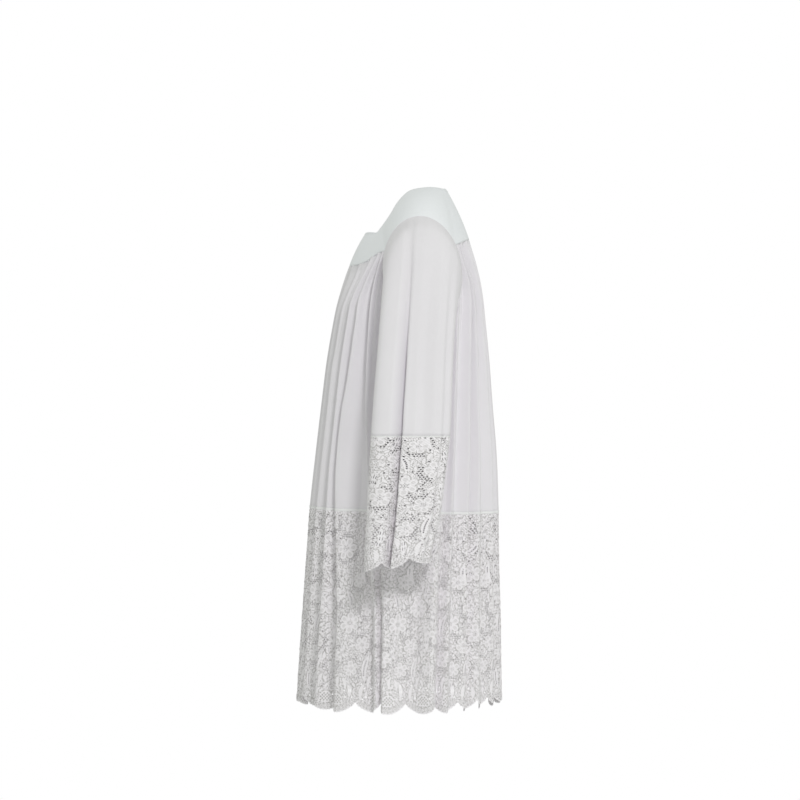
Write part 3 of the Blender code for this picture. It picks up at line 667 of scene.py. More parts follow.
def panel_point(crest, top, row):
    """Points of the front or back panel: row runs from 0 at its top line to 1 at the lace seam."""
    bottom = lace_seam(fold_angle(crest, LACE_SEAM_BACK))
    height = top[..., 2] + (bottom - top[..., 2]) * row
    hang, out = outline(height, fold_angle(crest, height))
    release = np.clip(1.0 - (top[..., 2] - height) / PLEAT_RELEASE, 0.0, None)
    pull = (release**2 * (3 - 2 * release))[..., None]
    lead = top - outline(top[..., 2], fold_angle(crest, top[..., 2]))[0]
    opened = PLEAT_KEPT + (1 - PLEAT_KEPT) * smooth(top[..., 2] - height, 0.0, PLEAT_OPENING)
    return hang + pull * lead - out * ((sunk(crest, height) + creases(crest, height)) * opened)[..., None]


def lace_point(crest, down):
    """Points of the lace flounce: down runs from 0 at its seam to 1 at the notches, and on past 1."""
    top = lace_seam(fold_angle(crest, LACE_SEAM_BACK))
    return cloth(crest, top + (HEM_NOTCH - top) * down)


def sleeve_point(ring, angle, troughs, rise=0.0):
    """Points of the left sleeve, at rings and angles from its outermost line."""
    ring, angle = np.broadcast_arrays(np.asarray(ring, float), np.asarray(angle, float))
    turn = np.radians(angle)
    zero = np.zeros_like(turn)
    outer = np.stack((SLEEVE("outer_x", ring), zero, SLEEVE("outer_z", ring)), axis=-1)
    inner = np.stack((SLEEVE("inner_x", ring), zero, SLEEVE("inner_z", ring)), axis=-1)
    front, back = SLEEVE("front", ring), SLEEVE("back", ring)
    middle = (outer + inner) / 2 + np.stack((zero, (front + back) / 2, zero), axis=-1)
    across, along = (outer - inner) / 2, np.stack((zero, (back - front) / 2, zero), axis=-1)
    square = np.where(np.cos(turn) > 0, np.where(np.sin(turn) < 0, SQUARE_FRONT, SQUARE_BACK), SQUARE_INSIDE)
    square = 2.0 + (square - 2.0) * ramp(ring, *SQUARE_RINGS)
    full = (np.abs(np.cos(turn)) ** square + np.abs(np.sin(turn)) ** square) ** (-1 / square)
    depth = zero
    for first, last, gentle, steep, most, start, end in troughs:
        middle_angle = first + (last - first) * ramp(ring, 1.0, CUFF_RING)
        off = (angle - middle_angle + 180) % 360 - 180
        evened = (gentle + steep) / TROUGH_EVEN * (1 - ramp(ring, *TROUGH_UNEVEN))
        width = evened + np.where(off < 0, gentle, steep) * ramp(ring, *TROUGH_UNEVEN)
        soft = np.where(np.abs(off) < width, (1 + np.cos(np.pi * off / width)) / 2, 0.0) ** TROUGH_ROUNDNESS
        depth = depth + most * ramp(ring, start, end) * soft
    for place, half_width, most, end in SLEEVE_GATHERS:
        off = (angle - place + 180) % 360 - 180
        gathered = most * np.exp(-((off / half_width) ** 2)) * ramp(ring, *GATHER_RINGS)
        depth = depth + gathered * (1 - ramp(ring, GATHER_FADE, end))
    reach = (across * np.cos(turn)[..., None] + along * np.sin(turn)[..., None]) * full[..., None]
    point = middle + reach - unit(reach) * depth[..., None]
    point[..., 2] += rise
    under = (1 - np.cos(turn)) / 2
    step = SEAM + (ARMHOLE_STEP - SEAM) * np.clip(4 * under, 0.0, 1.0)
    start = armhole(angle)
    start[..., 0] += step
    return np.where((ring < 1.0)[..., None], start + (point - start) * ring[..., None], point)


def cuff_rise(angle):
    """How much higher the border's edge is towards the sleeve's back."""
    return CUFF_RISE_BACK * (1 + np.sin(np.radians(angle))) / 2


def scallop(share):
    """The scallop's drop, from 0 at its notches to 1 at its tip."""
    return np.abs(np.sin(np.pi * share)) ** SCALLOP_FULLNESS


# Flat cloth, and laying it on the garment. In the flat, x runs along a piece and y up it, from 0 at its top.


def flat_cloth(width, depth, columns, rows, left=0.0, top=0.0):
    """A flat rectangle of cloth as a grid."""
    work = bmesh.new()
    bmesh.ops.create_grid(work, x_segments=columns, y_segments=rows, size=0.5)
    bmesh.ops.translate(work, verts=work.verts, vec=(0.5, -0.5, 0.0))
    bmesh.ops.scale(work, verts=work.verts, vec=(width, depth, 1.0))
    bmesh.ops.translate(work, verts=work.verts, vec=(left, top, 0.0))
    return work


def lay(name, work, place, material, wall=0.0, weld=0.0):
    """Lays a flat mesh on its surface. What stands off the flat stands off the surface too."""
    mesh = bpy.data.meshes.new(name)
    work.to_mesh(mesh)
    work.free()
    flat = np.empty(len(mesh.vertices) * 3)
    mesh.vertices.foreach_get("co", flat)
    flat = flat.reshape(-1, 3)
    corner = np.empty(len(mesh.loops), int)
    mesh.loops.foreach_get("vertex_index", corner)
    chart = mesh.uv_layers.new(name="UVMap")
    chart.data.foreach_set("uv", flat[corner, :2].ravel())
    x, y, lift = flat.T
    step = 0.0002
    across = place(x + step, y) - place(x - step, y)
    up = place(x, y + step) - place(x, y - step)
    laid = place(x, y) + unit(np.cross(across, up)) * lift[:, None]
    mesh.vertices.foreach_set("co", laid.ravel())
    if weld:
        joined = bmesh.new()
        joined.from_mesh(mesh)
        bmesh.ops.remove_doubles(joined, verts=joined.verts, dist=weld)
        joined.to_mesh(mesh)
        joined.free()
    mesh.update()
    mesh.shade_smooth()
    mesh.materials.append(material)
    piece = bpy.data.objects.new(name, mesh)
    bpy.context.scene.collection.objects.link(piece)
    if wall:
        thickness = piece.modifiers.new("Cloth thickness", "SOLIDIFY")
        thickness.thickness = wall
        thickness.offset = 0.0
    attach(piece, "root")
    return piece


# The lace, drawn flat in millimetres: x along it, y down from its seam. One repeat is two scallops wide.
SCALLOP = 76.2
REPEAT = 2 * SCALLOP
LACE_DEPTH = 356.0
NOTCH_DROP = 18.0
NET = REPEAT / 34    # between two holes of the net
NET_ROW = 3.9
NET_TOP = 7.0        # the first row's place
NET_INSET = 13.5     # the net ends this far above the scallops' edge
NET_HOLE = 1.45      # the radius of a hole
NET_BAR = 0.9        # the thread kept round it
NET_STRAY = 0.09     # the share of the holes that lie open by themselves
NET_SEED = 5
# Small leaves: length, width and how many are tried. They turn by one of three angles in radians from the
# line to the nearest flower, and their sizes vary by the shares given.
FOLIAGE = ((17.0, 6.0, 260), (13.0, 4.8, 420), (10.0, 4.0, 600), (7.5, 3.2, 700))
FOLIAGE_TURNS, FOLIAGE_STRAY = (-0.9, 0.6, 1.1), 0.25
FOLIAGE_LENGTHS, FOLIAGE_WIDTHS, FOLIAGE_BENDS = (0.8, 1.15), (0.85, 1.1), (-1.2, 1.2)
FOLIAGE_INSET = (2.0, 4.0)      # how far they stay from the seam and from the scallops' edge
FOLIAGE_SEED = 11
# The margin kept free round each kind of motif, and how high it stands
RELIEF = {
    "button": (0.6, 0.9), "heart": (0.0, 0.1), "petal": (1.0, 0.7), "mesh": (0.0, 0.0), "window": (1.6, 0.2),
    "eyelet": (0.0, 0.1), "eyelet ring": (0.6, 0.8), "leaf": (0.8, 0.6), "leaflet": (0.7, 0.5),
    "foliage": (0.9, 0.55),
}
# Tones of the lace, which its material reads: the gap round a motif, painted in shade grey; a petal's sheer
# heart, greyed part way with that painted shade; the sheer mesh of the windows, wholly painted shade; the
# motifs and the close ground
SHADED_GAP_TONE, HEART_TONE, SHEER_SHADE_TONE, MOTIF_TONE, GROUND_TONE = 0.30, 0.72, 0.0, 1.0, 2.0
# The width of the band round each motif that is painted in shade grey, in millimetres
GAP = 1.2
# The net lies open in crescents round the flowers: the angle of a crescent's middle, its half angle and width
NET_CRESCENTS = (
    ((-60.0, 55.0, 11.0), (130.0, 45.0, 9.0)), ((10.0, 60.0, 9.0), (170.0, 40.0, 8.0)),
    ((75.0, 70.0, 11.0), (-100.0, 40.0, 9.0)), ((200.0, 55.0, 10.0), (40.0, 45.0, 9.0)),
    ((-30.0, 60.0, 10.0), (110.0, 50.0, 9.0)), ((-85.0, 50.0, 11.0), (70.0, 60.0, 10.0)),
    ((150.0, 55.0, 11.0), (-20.0, 50.0, 9.0)), ((30.0, 60.0, 11.0), (-140.0, 45.0, 10.0)),
    ((95.0, 60.0, 10.0), (-50.0, 45.0, 9.0)), ((20.0, 65.0, 11.0), (-120.0, 40.0, 9.0)),
    ((-70.0, 55.0, 10.0), (80.0, 55.0, 11.0)), ((160.0, 60.0, 10.0), (0.0, 45.0, 9.0)),
    ((60.0, 60.0, 10.0), (-90.0, 50.0, 9.0)),
)

# A flower's parts as shares of its radius: its button with a hole, where its petals start, where their hearts
# start and end, and their slits' middle, half length and half width. Widths are shared by the petals.
BUTTON, BUTTON_HOLE, PETAL_START = 0.14, 0.06, 0.15
HEART_START, HEART_END = 0.42, 0.84
SLIT_MIDDLE, SLIT_HALF_LENGTH, SLIT_HALF_WIDTH = 0.29, 0.09, 0.028
PETAL_WIDTH, HEART_WIDTH = 4.0, 2.2
# Flowers: middle, radius, petals and turn
FLOWERS = (
    (20.0, 66.0, 19.8, 6, 12.0),
    (70.0, 28.0, 13.8, 5, 18.0),
    (112.0, 72.0, 21.5, 6, -8.0),
    (54.0, 116.0, 17.2, 5, 40.0),
    (146.0, 132.0, 14.6, 5, 70.0),
    (92.0, 160.0, 20.6, 6, 20.0),
    (22.0, 180.0, 18.9, 6, 0.0),
    (132.0, 210.0, 19.8, 6, 33.0),
    (66.0, 230.0, 18.1, 5, -20.0),
    (8.0, 250.0, 15.5, 5, 10.0),
    (100.0, 274.0, 17.2, 6, 5.0),
    (48.0, 292.0, 13.8, 5, 50.0),
    (140.0, 294.0, 14.6, 5, -30.0),
)
# A leaf's openings: the shares of its length that they lie between, the half sizes of a slit and of a
# ladder's square, and the steps from one to the next
LEAF_OPEN = (0.25, 0.8)
LEAF_SLIT, LEAF_SQUARE = (4.0, 0.7), 1.75
SLIT_STEP, SQUARE_STEP = 10.5, 3.7
LEAF_KINDS = {"ladder": (0.0,), "slits": (-0.2, 0.2), "plain": ()}  # rows of openings, in leaf widths
# Leaves: base, tip, width, bend and the kind of opening
LEAVES = (
    ((42.0, 80.0), (60.0, 54.0), 10.0, 5.0, "ladder"),
    ((84.0, 96.0), (76.0, 136.0), 11.0, -6.0, "slits"),
    ((4.0, 96.0), (12.0, 138.0), 11.0, 6.0, "ladder"),
    ((142.0, 30.0), (146.0, 62.0), 9.0, -4.0, "slits"),
    ((38.0, 140.0), (46.0, 172.0), 10.0, 5.0, "slits"),
    ((122.0, 150.0), (132.0, 184.0), 10.0, -5.0, "ladder"),
    ((62.0, 184.0), (54.0, 212.0), 9.0, 4.0, "slits"),
    ((106.0, 190.0), (98.0, 244.0), 12.0, 7.0, "ladder"),
    ((34.0, 208.0), (42.0, 262.0), 11.0, -6.0, "slits"),
    ((120.0, 246.0), (128.0, 276.0), 9.0, 4.0, "slits"),
    ((24.0, 268.0), (16.0, 320.0), 11.0, 6.0, "ladder"),
    ((70.0, 288.0), (64.0, 328.0), 10.0, -5.0, "slits"),
    ((88.0, 302.0), (92.0, 346.0), 10.0, 4.0, "ladder"),
    ((136.0, 316.0), (140.0, 350.0), 9.0, -3.0, "slits"),
    ((14.0, 322.0), (10.0, 352.0), 8.0, 3.0, "plain"),
    ((64.0, 330.0), (66.0, 356.0), 8.0, -3.0, "plain"),
    ((28.0, 306.0), (22.0, 330.0), 7.0, 2.0, "plain"),
    ((116.0, 308.0), (116.0, 330.0), 7.0, 1.0, "plain"),
    ((104.0, 306.0), (100.0, 334.0), 7.0, 2.0, "plain"),
    ((126.0, 310.0), (132.0, 334.0), 7.0, -2.0, "plain"),
)
LEAFLET_LEAN, LEAFLET_SWAY = 34, 6      # degrees from the spray's line, more or less
LEAFLET_SLIT = (0.24, 0.65)     # share of its length, and half width
LEAFLET_BEND, LEAFLET_STEPS = 1.2, 5
# Sprays: start, end, bend, leaflet length, leaflet width and pairs of leaflets
SPRAYS = (
    ((80.0, 58.0), (86.0, 122.0), 6.0, 15.0, 7.0, 6),
    ((40.0, 136.0), (56.0, 196.0), -5.0, 13.0, 6.5, 5),
    ((118.0, 106.0), (120.0, 176.0), 5.0, 13.0, 6.5, 5),
    ((98.0, 192.0), (92.0, 246.0), 4.0, 14.0, 7.0, 4),
    ((0.0, 196.0), (2.0, 232.0), 3.0, 12.0, 6.0, 3),
    ((30.0, 206.0), (34.0, 272.0), -4.0, 14.0, 7.0, 5),
    ((126.0, 240.0), (120.0, 284.0), 4.0, 12.0, 6.0, 4),
    ((34.0, 10.0), (48.0, 60.0), 4.0, 14.0, 7.0, 4),
    ((150.0, 4.0), (146.0, 90.0), -5.0, 14.0, 7.0, 6),
)
# The window over a scallop: its half width, rise and height above the edge, and its meshes across
WINDOW_HALF, WINDOW_RISE, WINDOW_INSET, WINDOW_MESH = 15.0, 19.0, 13.0, 4.4
WINDOW_FRAME = 1.4
MESH_COLUMNS, MESH_ROWS = range(-8, 9), range(-12, 6)
MESH_SIZE, MESH_HOLE = 0.60, 0.2    # half widths of a mesh and of its hole, as shares of its step
EYELET_PITCH, EYELET_INSET, EYELET_RADIUS = 8.2, 6.4, 1.0
# The gap round an eyelet is painted in shade grey
EYELET_GAP, EYELET_RING = 1.1, 2.4      # width of the gap and of the ring round an eyelet
EDGE_CORD = 1.5     # the close-worked edge along the scallops
TAKEN_STEP = 0.5    # cells of the record of what is drawn already
PICOTS = 13         # small points along each scallop
PICOT = 1.6
GROUND_ACROSS, GROUND_DOWN = 4.23, 4.0      # the plain ground's points, and where the first one lies
GROUND_FIRST = (2.1, 2.5)
GROUND_COLUMNS, GROUND_ROWS = 36, 92
GROUND_CLEAR = 1.7      # how far they stay from what is drawn
GROUND_INSET = (1.5, 2.0)       # and from the repeat's end and the scallops' edge
CUT_JOIN = 0.0005       # points of the cut nearer than this are one


def ring(x, y, half_width, half_height=None, sides=6, turn=0.0):
    """A many-sided ring."""
    half_height = half_width if half_height is None else half_height
    turns = np.arange(sides) * 2 * np.pi / sides + math.radians(turn)
    return np.stack((x + half_width * np.cos(turns), y + half_height * np.sin(turns)), axis=1)


def turned(points, centre, degrees):
    """Points turned round the origin and carried to a centre."""
    turn = math.radians(degrees)
    matrix = np.array(((math.cos(turn), math.sin(turn)), (-math.sin(turn), math.cos(turn))))
    return points @ matrix + centre


def petal(centre, turn, near, far, width):
    """A petal, broad towards its end."""
    turns = np.linspace(0, 2 * np.pi, 12, endpoint=False)
    x = near + (far - near) * (1 - np.cos(turns)) / 2
    y = width / 2 * np.sin(turns) * (0.69 + 0.43 * (x - near) / (far - near))
    return turned(np.stack((x, y), axis=1), centre, turn)


def blade(start, end, width, bend, steps):
    """A pointed leaf on a bent rib, and the rib."""
    start, along = np.array(start), np.array(end) - start
    side = np.array((-along[1], along[0])) / np.linalg.norm(along)
    t = np.linspace(0, 1, steps)
    rib = start + along * t[:, None] + side * (bend * 4 * t * (1 - t))[:, None]
    half = (width / 2 * np.sin(np.pi * t**0.85) ** 0.9)[:, None] * side
    return np.concatenate((rib + half, (rib - half)[-2:0:-1])), rib


def grown(shape, by):
    """A shape with its points moved out from its middle."""
    away = shape - shape.mean(0)
    return shape.mean(0) + away * (1 + by / np.linalg.norm(away, axis=1, keepdims=True))


def inside(points, shape):
    """Which points lie in a shape."""
    x, y = points[:, :1], points[:, 1:]
    x1, y1 = shape.T
    x2, y2 = np.roll(shape, -1, axis=0).T
    cross = ((y1 > y) != (y2 > y)) & (x < (x2 - x1) * (y - y1) / (y2 - y1 + 1e-12) + x1)
    return cross.sum(1) % 2 == 1


def lace_edge(x):
    """How far down the scallops' edge lies."""
    return LACE_DEPTH + NOTCH_DROP * scallop(x / SCALLOP)


def shifted(shape):
    """A shape and its neighbours in the repeats beside it."""
    return [shape + (shift, 0.0) for shift in (-REPEAT, 0.0, REPEAT)]


class LaceDrawing:
    """The holes and motifs of one repeat, drawn from the front ones to those behind."""

    def __init__(self):
        self.holes, self.motifs, self.latest = [], [], []
        x = (np.arange(round(REPEAT / TAKEN_STEP)) + 0.5) * REPEAT / round(REPEAT / TAKEN_STEP)
        y = (np.arange(round((LACE_DEPTH + NOTCH_DROP + 2) / TAKEN_STEP)) + 0.5) * TAKEN_STEP
        self.places = np.stack(np.meshgrid(x, y), axis=-1)
        self.taken = np.zeros(self.places.shape[:2], bool)

    def covered(self, points):
        """Which points lie under the motifs that are settled."""
        rows, columns = self.taken.shape
        column = np.floor(points[:, 0] % REPEAT / REPEAT * columns).astype(int) % columns
        row = np.clip(np.floor(points[:, 1] / TAKEN_STEP).astype(int), 0, rows - 1)
        return self.taken[row, column]

    def motif(self, shape, holes, margin, height, tone=MOTIF_TONE):
        """Draws a motif with its holes behind what is settled."""
        self.motifs.append((shape, self.covered(shape), height, tone))
        self.holes += [hole for hole in holes if not self.covered(hole).any()]
        self.latest.append(grown(shape, margin))

    def settle(self):
        """Records the ground that the latest motifs take."""
        rows, columns = self.taken.shape
        for shape in self.latest:
            for moved in shifted(shape):
                left, top = np.floor(moved.min(0) / TAKEN_STEP).astype(int)
                right, low = np.ceil(moved.max(0) / TAKEN_STEP).astype(int)
                across = slice(min(max(left, 0), columns), min(max(right, 0), columns))
                down = slice(min(max(top, 0), rows), min(max(low, 0), rows))
                places = self.places[down, across]
                if places.size:
                    self.taken[down, across] |= inside(places.reshape(-1, 2), moved).reshape(places.shape[:2])
        self.latest = []


def draw_flowers(drawing):
    for x, y, radius, petals, turn in FLOWERS:
        centre = np.array((x, y))
        button = ring(x, y, radius * BUTTON, sides=8)
        drawing.motif(button, [ring(x, y, radius * BUTTON_HOLE)], *RELIEF["button"])
        drawing.settle()
        for number in range(petals):
            lean = turn + 360 * number / petals
            width = HEART_WIDTH * radius / petals
            # A petal's heart is greyed part way with the painted shade grey
            heart = petal(centre, lean, radius * HEART_START, radius * HEART_END, width)
            drawing.motif(heart, [], *RELIEF["heart"], HEART_TONE)
            half_length, half_width = radius * SLIT_HALF_LENGTH, radius * SLIT_HALF_WIDTH
            slit = turned(ring(radius * SLIT_MIDDLE, 0, half_length, half_width), centre, lean)
            shape = petal(centre, lean, radius * PETAL_START, radius, PETAL_WIDTH * radius / petals)
            drawing.motif(shape, [slit], *RELIEF["petal"])
        drawing.settle()


def draw_window(drawing):
    """The low arched window of net laid slantwise, over the middle of each scallop."""
    step = WINDOW_MESH / math.sqrt(2)
    x = np.linspace(-WINDOW_HALF, WINDOW_HALF, 9)
    foot = lace_edge(SCALLOP / 2 + x) - WINDOW_INSET
    top = foot.min() - WINDOW_RISE * np.sqrt(1 - (x / WINDOW_HALF) ** 2)
    for middle in (SCALLOP / 2, 1.5 * SCALLOP):
        low, high = (np.stack((middle + x, line), axis=1) for line in (foot, top))
        shape = np.concatenate((low, high[-2:0:-1]))
        inner = grown(shape, -WINDOW_FRAME)
        # Each mesh of the window is painted wholly in shade grey, for the dark seen through it
        for i in MESH_COLUMNS:
            for j in MESH_ROWS:
                mesh = ring(middle + i * step, foot.mean() + j * step, step * MESH_SIZE, sides=4)
                if (i + j) % 2 == 0 and inside(mesh, inner).all():
                    hole = ring(*mesh.mean(0), step * MESH_HOLE, sides=4)
                    drawing.motif(mesh, [hole], *RELIEF["mesh"], SHEER_SHADE_TONE)
        drawing.motif(shape, [], *RELIEF["window"])
    drawing.settle()


def draw_border(drawing):
    """The close-worked edge and the eyelets along the scallops."""
    x = np.linspace(0, REPEAT, 400)
    line = np.stack((x, lace_edge(x)), axis=1)
    slope = np.gradient(line, axis=0)
    inward = np.stack((slope[:, 1], -slope[:, 0]), axis=1) / np.linalg.norm(slope, axis=1, keepdims=True)
    run = run_along(line)
    count = round(run[-1] / EYELET_PITCH)
    for number in range(count):
        at = (number + 0.5) / count * run[-1]
        centre = [np.interp(at, run, line[:, n] + EYELET_INSET * inward[:, n]) for n in (0, 1)]
        eyelet = ring(*centre, EYELET_RADIUS, sides=8, turn=22.5)
        # The gap round the eyelet is painted in shade grey
        shaded_gap = ring(*centre, EYELET_RADIUS + EYELET_GAP, sides=8)
        drawing.motif(shaded_gap, [eyelet], *RELIEF["eyelet"], SHADED_GAP_TONE)
        drawing.motif(ring(*centre, EYELET_RADIUS + EYELET_RING, sides=10), [], *RELIEF["eyelet ring"])
    drawing.settle()


def draw_leaves(drawing):
    for base, tip, width, bend, opening in LEAVES:
        shape, rib = blade(base, tip, width, bend, 8)
        along = np.array(tip) - base
        length, heading = np.linalg.norm(along), math.degrees(math.atan2(along[1], along[0]))
        steps = np.linspace(0, 1, len(rib))
        holes = []
        for side in LEAF_KINDS[opening]:
            hole = ring(0, side * width, *LEAF_SLIT) if side else ring(0, 0, LEAF_SQUARE, sides=4, turn=45)
            for t in np.arange(*LEAF_OPEN, (SLIT_STEP if side else SQUARE_STEP) / length):
                middle = np.array([np.interp(t, steps, rib[:, n]) for n in (0, 1)])
                holes.append(turned(hole, middle, heading))
        drawing.motif(shape, holes, *RELIEF["leaf"])
        drawing.settle()


def draw_sprays(drawing):
    for start, end, bend, long, wide, pairs in SPRAYS:
        start, end = np.array(start), np.array(end)
        length = np.linalg.norm(end - start)
        along = (end - start) / length
        side = np.array((-along[1], along[0]))
        leaflets = [(end - along * long * 0.8, end)]
        for number in range(pairs):
            for hand in (-1, 1):
                t = (number + 0.15 + (0.35 if hand > 0 else 0)) / pairs * 0.85
                base = start + along * length * t + side * bend * 4 * t * (1 - t)
                sway = (number * 7 + (hand > 0) * 3) % 3 - 1
                lean = math.radians(LEAFLET_LEAN + LEAFLET_SWAY * sway)
                way = along * math.cos(lean) + side * hand * math.sin(lean)
                leaflets.append((base + way * 1.5, base + way * long * (1 - 0.25 * t)))
        for base, tip in leaflets:
            if drawing.covered(((base + tip) / 2)[None])[0]:
                continue
            shape, _ = blade(base, tip, wide, LEAFLET_BEND, LEAFLET_STEPS)
            heading = math.degrees(math.atan2(*(tip - base)[::-1]))
            share, half_width = LEAFLET_SLIT
            slit = ring(0, 0, np.linalg.norm(tip - base) * share, half_width, 4)
            drawing.motif(shape, [turned(slit, (base + tip) / 2, heading)], *RELIEF["leaflet"])
        drawing.settle()


def draw_foliage(drawing):
    """Small leaves that crowd the ground, turned round the nearest flower."""
    chance = np.random.RandomState(FOLIAGE_SEED)
    from_seam, from_edge = FOLIAGE_INSET
    middles = np.array([(x + shift, y) for x, y, *_ in FLOWERS for shift in (-REPEAT, 0.0, REPEAT)])
    for long, wide, tries in FOLIAGE:
        for _ in range(tries):
            at = np.array((chance.uniform(0, REPEAT), chance.uniform(4.0, LACE_DEPTH - 2.0)))
            away = at - middles[np.argmin(np.linalg.norm(middles - at, axis=1))]
            heading = math.atan2(away[1], away[0])
            heading = heading + chance.choice(FOLIAGE_TURNS) + chance.normal(0, FOLIAGE_STRAY)
            length = long * chance.uniform(*FOLIAGE_LENGTHS)
            half = np.array((math.cos(heading), math.sin(heading))) * length / 2
            if drawing.covered(at[None])[0]:
                continue
            width, bend = wide * chance.uniform(*FOLIAGE_WIDTHS), chance.uniform(*FOLIAGE_BENDS)
            shape, _ = blade(at - half, at + half, width, bend, LEAFLET_STEPS)
            down = shape[:, 1]
            out = down.min() < from_seam or (down > lace_edge(shape[:, 0]) - from_edge).any()
            if out or drawing.covered(shape).any():
                continue
            drawing.motif(shape, [], *RELIEF["foliage"])
            drawing.settle()


def draw_net(drawing):
    """The six-sided net that fills the ground between the motifs, in uneven patches."""
    chance = np.random.RandomState(NET_SEED)
    rows, columns = int(LACE_DEPTH / NET_ROW) + 3, round(REPEAT / NET)
    centres = np.array([
        ((k + 0.5 * (j % 2)) * NET, NET_TOP + j * NET_ROW) for j in range(rows) for k in range(columns)
    ])
    clear = (centres[:, 1] < lace_edge(centres[:, 0]) - NET_INSET) & ~drawing.covered(centres)
    opened = chance.uniform(0, 1, len(centres)) < NET_STRAY
    for (x, y, radius, *_), crescents in zip(FLOWERS, NET_CRESCENTS):
        for middle in shifted(np.array((x, y))):
            away = centres - middle
            bearing = np.degrees(np.arctan2(away[:, 1], away[:, 0]))
            reach = np.linalg.norm(away, axis=1) - radius
            for heading, half_angle, width in crescents:
                off = np.abs((bearing - heading + 180) % 360 - 180) / half_angle
                most = width * np.sqrt(np.clip(1 - off**2, 0.0, 1.0)) * chance.uniform(0.4, 1.1, len(centres))
                opened |= (off < 1) & (reach > 0) & (reach < most)
    for x, y in centres[clear & opened]:
        drawing.holes.append(ring(x, y, NET_HOLE, turn=30))
        drawing.latest.append(ring(x, y, NET_HOLE + NET_BAR, turn=30))
    drawing.settle()


def lace_outline():
    """The outline of one repeat, with its small points along the scallops."""
    teeth = np.linspace(0, 2, PICOTS * 4 + 1)
    stand = PICOT * (np.arange(len(teeth)) % 2 == 0) * (np.abs(teeth - np.round(teeth)) > 0.01)
    edge = np.stack((teeth * SCALLOP, lace_edge(teeth * SCALLOP) + stand), axis=1)
    side = np.arange(0, LACE_DEPTH, 4.0)
    top = np.linspace(0, REPEAT, 39)[:-1]
    return np.concatenate((
        np.stack((top, 0 * top), axis=1),
        np.stack((0 * side + REPEAT, side), axis=1),
        edge[::-1],
        np.stack((0 * side[1:], side[1:]), axis=1)[::-1],
    ))


def cut_lace(drawing):
    """Cuts the repeat's holes out of it. Gives its points, their heights, its faces and their tones."""
    outline_points = lace_outline()
    points, edges, faces, heights = [], [], [], []

    def add(shape, height):
        """Adds a shape's points, and gives their numbers the left way round."""
        x, y = np.array(shape).T
        first = len(points)
        points.extend(Vector((a, -b)) for a, b in zip(x, y))
        heights.extend([height] * len(shape))
        numbers = list(range(first, first + len(shape)))
        return numbers if np.sum(x * np.roll(y, -1) - y * np.roll(x, -1)) < 0 else numbers[::-1]

    faces.append(add(outline_points, 0.0))
    for shape in drawing.holes:
        for moved in shifted(shape):
            if moved[:, 0].max() > 0 and moved[:, 0].min() < REPEAT:
                faces.append(add(moved, 0.1))
    for shape, hidden, height, _ in drawing.motifs:
        for moved in shifted(shape):
            if moved[:, 0].max() <= 0 or moved[:, 0].min() >= REPEAT:
                continue
            for i in range(len(moved)):
                j = (i + 1) % len(moved)
                if not (hidden[i] or hidden[j]):
                    edges.append(tuple(add(moved[[i, j]], height)))
    # points of the plain ground, so that it follows the folds
    drawn = KDTree(len(points))
    for number, point in enumerate(points):
        drawn.insert((*point, 0.0), number)
    drawn.balance()
    left, top = GROUND_FIRST
    fill = np.array([
        ((i + 0.5 * (j % 2)) * GROUND_ACROSS + left, top + j * GROUND_DOWN)
        for j in range(GROUND_ROWS) for i in range(GROUND_COLUMNS)
    ])
    at_end, at_edge = GROUND_INSET
    fill = fill[(fill[:, 0] < REPEAT - at_end) & (fill[:, 1] < lace_edge(fill[:, 0]) - at_edge)]
    add([place for place in fill if drawn.find((place[0], -place[1], 0.0))[2] > GROUND_CLEAR], 0.2)
    places, _, cells, sources, _, origins = delaunay_2d_cdt(points, edges, faces, 1, CUT_JOIN, True)
    kept = [cell for cell, origin in zip(cells, origins) if 0 in origin and len(origin) == 1]
    height = [max((heights[s] for s in source), default=0.0) for source in sources]
    places = np.array([(p[0], p[1]) for p in places])
    middles = np.array([places[cell].mean(0) for cell in kept]) * (1, -1)
    tones = np.full(len(kept), GROUND_TONE)
    # A band round each motif is painted in shade grey, and then the motifs take their own tones over it
    for by in (GAP, 0.0):
        for shape, _, _, tone in reversed(drawing.motifs):
            for moved in shifted(grown(shape, by)):
                near = ((middles >= moved.min(0)) & (middles <= moved.max(0))).all(1)
                if near.any():
                    near[near] = inside(middles[near], moved)
                    tones[near] = SHADED_GAP_TONE if by else tone
    tones[middles[:, 1] > lace_edge(middles[:, 0]) - EDGE_CORD] = MOTIF_TONE
    return places, height, kept, tones


def lace_length(repeat, scallops, above=0.0):
    """A flat length of the lace, as many scallops long, cut off above a line where one is given."""
    places, heights, cells, tones = repeat
    work = bmesh.new()
    # Each face's tone goes to the attribute motif; the low tones are painted shade
    motif = work.faces.layers.float.new("motif")
    corners = [work.verts.new((x * MM, y * MM, height * MM)) for (x, y), height in zip(places, heights)]
    for cell, tone in zip(cells, tones):
        work.faces.new([corners[i] for i in cell])[motif] = tone
    pattern = work.verts[:] + work.edges[:] + work.faces[:]
    for number in range(1, math.ceil(scallops / 2)):
        copy = bmesh.ops.duplicate(work, geom=pattern)["geom"]
        moved = [v for v in copy if isinstance(v, bmesh.types.BMVert)]
        bmesh.ops.translate(work, verts=moved, vec=(number * REPEAT * MM, 0.0, 0.0))
    bmesh.ops.remove_doubles(work, verts=work.verts, dist=0.00002)
    end = scallops * SCALLOP * MM
    for place, facing in (((0.0, -above, 0.0), (0.0, 1.0, 0.0)), ((end, 0.0, 0.0), (1.0, 0.0, 0.0))):
        whole = work.verts[:] + work.edges[:] + work.faces[:]
        bmesh.ops.bisect_plane(work, geom=whole, plane_co=place, plane_no=facing, clear_outer=True)
    bmesh.ops.translate(work, verts=work.verts, vec=(0.0, above, 0.0))
    return work


